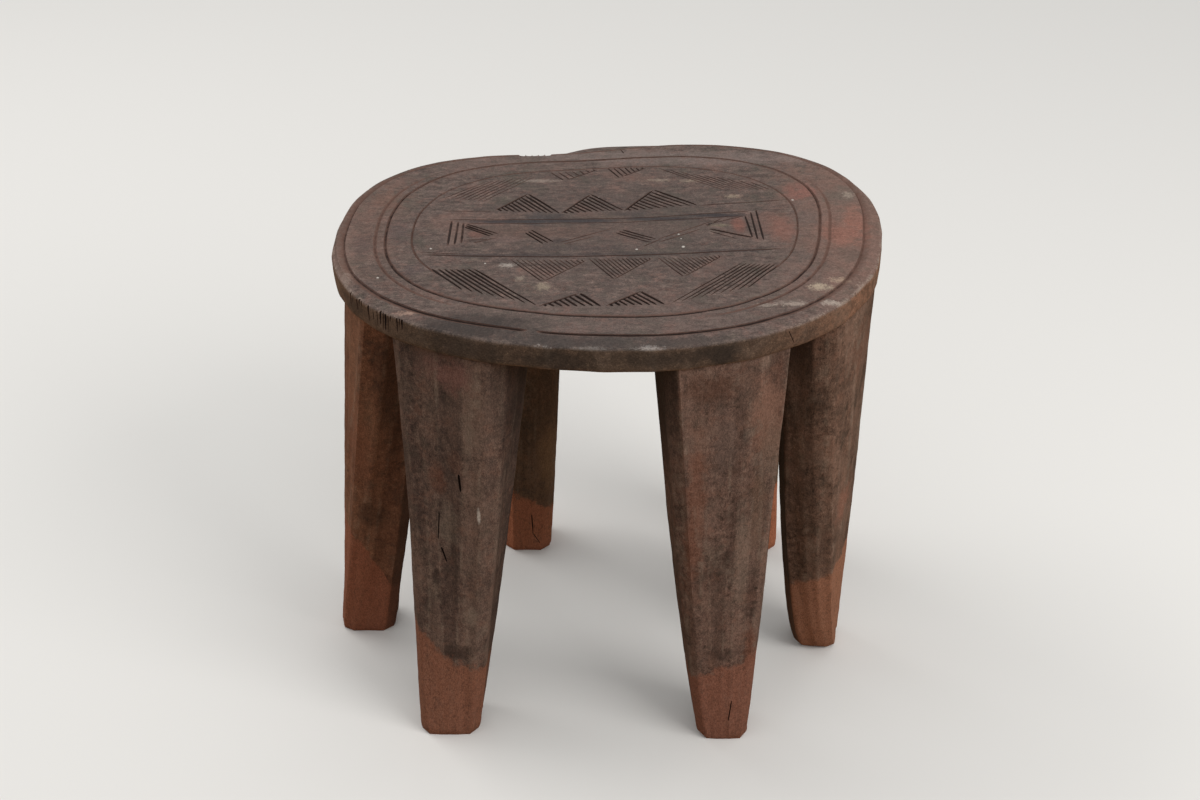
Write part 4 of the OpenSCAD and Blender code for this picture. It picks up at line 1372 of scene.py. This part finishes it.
# Place in the frame, half sizes, raggedness, tone and share; y is left wide, since a mark goes through
LEG_MARKS = {
    "leg_front_left": [
        (-128, -165, 272, 8, 30, 16, 1.8, *RED, 0.4), (-112, -165, 290, 7, 30, 12, 1.8, *RED, 0.15),
        (-130, -150, 380, 13, 60, 18, 2.2, 100, 78, 70, 0.6),
        (-118, -165, 370, 26, 30, 16, 2.4, 122, 86, 78, 0.6), (-94, -165, 243, 1.6, 30, 8, 1.2, *CHALK, 0.6),
        (-120, -165, 225, 9, 30, 26, 2.4, *PALE, 0.28),
        # The tall paler strip on the left facet stands for the light that facet catches: painted light
        (-174, -150, 260, 16, 50, 140, 1.6, 128, 108, 84, 0.65),
        (-133, -165, 168, 4, 30, 20, 1.8, *BLACK, 0.55), (-116, -165, 205, 3, 30, 34, 1.8, *BLACK, 0.4),
        (-118, -165, 96, 16, 30, 9, 2.0, *BLACK, 0.5), (-104, -165, 136, 5, 30, 10, 2.0, *PALE, 0.4),
    ],
    "leg_front_right": [
        (80, -168, 250, 9, 30, 90, 2.0, *RED, 0.45), (138, -160, 330, 14, 40, 50, 2.2, *RED, 0.4),
        (120, -168, 200, 7, 30, 60, 2.2, *PALE, 0.25), (108, -168, 100, 18, 30, 8, 2.0, *BLACK, 0.4),
        (132, -160, 70, 6, 30, 60, 1.8, *RED, 0.5), (140, -160, 300, 10, 30, 40, 2.2, *PALE, 0.25),
        (88, -168, 368, 22, 30, 15, 2.2, 80, 55, 43, 0.6),
        (134, -162, 345, 17, 40, 28, 2.2, 132, 102, 88, 0.55),
        (101, -168, 314, 12, 30, 36, 2.2, 106, 88, 80, 0.5),
        (119, -168, 321, 5, 30, 9, 1.8, 74, 63, 57, 0.55), (132, -160, 249, 8, 30, 50, 2.2, 112, 89, 74, 0.4),
    ],
    "leg_right": [
        (214, -50, 185, 10, 40, 27, 1.8, 138, 98, 82, 0.75),
        (217, -50, 118, 8, 40, 28, 2.0, 124, 95, 79, 0.45),
        (214, -30, 342, 17, 80, 22, 2.2, 112, 79, 65, 0.6), (204, -50, 150, 16, 40, 18, 2.0, *BLACK, 0.45),
        (232, -40, 250, 6, 40, 60, 2.0, *PALE, 0.35), (190, -60, 80, 20, 40, 8, 2.0, *BLACK, 0.4),
    ],
    "leg_left": [
        # The black patch on the leg's inner, right side is partly soot and partly painted shade
        (-215, -60, 260, 20, 90, 60, 2.2, *RED, 0.4), (-172, -80, 300, 13, 90, 75, 1.4, *BLACK, 0.42),
        (-200, -50, 160, 14, 70, 26, 2.0, *BLACK, 0.5), (-202, -60, 245, 10, 90, 50, 2.2, 132, 90, 70, 0.6),
    ],
    "leg_back_left": [
        (-46, 125, 115, 13, 90, 45, 2.0, 136, 106, 78, 0.75),
    ],
    "leg_back_right": [],
}
LEG_STRETCH, LEG_PORES = (300, 300, 30), (850, 850, 380)
print("tones for", len(LEG_TONES), "legs")

# %% Material of each leg
# The tone on the slopes of the cuts, and the dark in the cuts, which is dirt and painted shade
LEG_SLOPES, LEG_CUT_DIRT_AND_SHADE = paint(66, 46, 36), paint(38, 28, 22)
LEG_STREAKS, FOOT_STREAKS, LEG_PORE_DEPTH, LEG_BUMP = 0.3, 0.35, 0.34, 0.8
LEG_ROUGH_NOISE, LEG_HUE_NOISE = (70.0, 5.0, 0.7), (75.0, 6.0, 0.72)


def leg_material(name):
    """One leg's wood, from its own tones."""
    *tones, shade_and_grime_share = LEG_TONES[name]
    dark, middle, light, foot = (paint(*tone) for tone in tones)
    look, tree, shader, grain = start_material(name + "_long_grain", LEG_STRETCH, LEG_PORES)
    place = object_place(tree)
    rough = cloud(tree, place, *LEG_ROUGH_NOISE)
    hue = cloud(tree, place, *LEG_HUE_NOISE)
    facet = attribute(tree, "facet")
    colour = lay_tones(tree, bare_wood(tree, grain, dark, middle, light, LEG_STREAKS), [
        (grain["Blotch"], 0.46, 0.66, 0.5, light),
        (grain["Blotch"], 0.5, 0.32, 0.6, dark),
        (hue, 0.5, 0.66, 0.45, tint(tree, 0.5, light, paint(*RED))),
        (hue, 0.5, 0.34, 0.4, paint(72, 64, 56)),
        (facet, 0.5, 1.0, 0.32, light),
        (facet, 0.5, 0.0, 0.32, dark),
    ])
    colour = lay_patches(tree, rough, colour, LEG_MARKS[name])
    wet = fade(tree, unsettle(tree, attribute(tree, "tide"), rough, 0.35), 0.03, -0.05)
    foot_dark, foot_light = tint(tree, 0.35, foot, dark), tint(tree, 0.2, foot, light)
    foot_wood = bare_wood(tree, grain, foot_dark, foot, foot_light, FOOT_STREAKS)
    colour = tint(tree, wet, colour, foot_wood)
    handled = overlap(tree, attribute(tree, "ridge"), fade(tree, rough, 0.42, 0.6, 0.0, 0.5),
                      reckon(tree, "MULTIPLY_ADD", wet, -0.8, 1.0))
    colour = tint(tree, handled, colour, tint(tree, 0.6, light, paint(*PALE)))
    # Faces that look inwards are darkened: partly grime, partly painted shade under the slab and between the
    # legs
    shade_and_grime = fade(tree, attribute(tree, "inner"), 0.2, 0.7, 0.0, shade_and_grime_share)
    colour = tint(tree, shade_and_grime, colour, tint(tree, 0.5, dark, paint(*BLACK)))
    finish_material(tree, shader, colour, grain, LEG_SLOPES, LEG_CUT_DIRT_AND_SHADE, LEG_PORE_DEPTH, LEG_BUMP)
    return look


for name, leg in legs.items():
    leg.data.materials.append(leg_material(name))
print("leg materials:", [leg.data.materials[0].name for leg in legs.values()])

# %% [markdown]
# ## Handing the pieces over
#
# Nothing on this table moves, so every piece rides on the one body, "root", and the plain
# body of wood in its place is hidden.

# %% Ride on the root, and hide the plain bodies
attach(carved_top, "root")
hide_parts("top")
for name, leg in legs.items():
    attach(leg, "root")
    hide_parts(name)
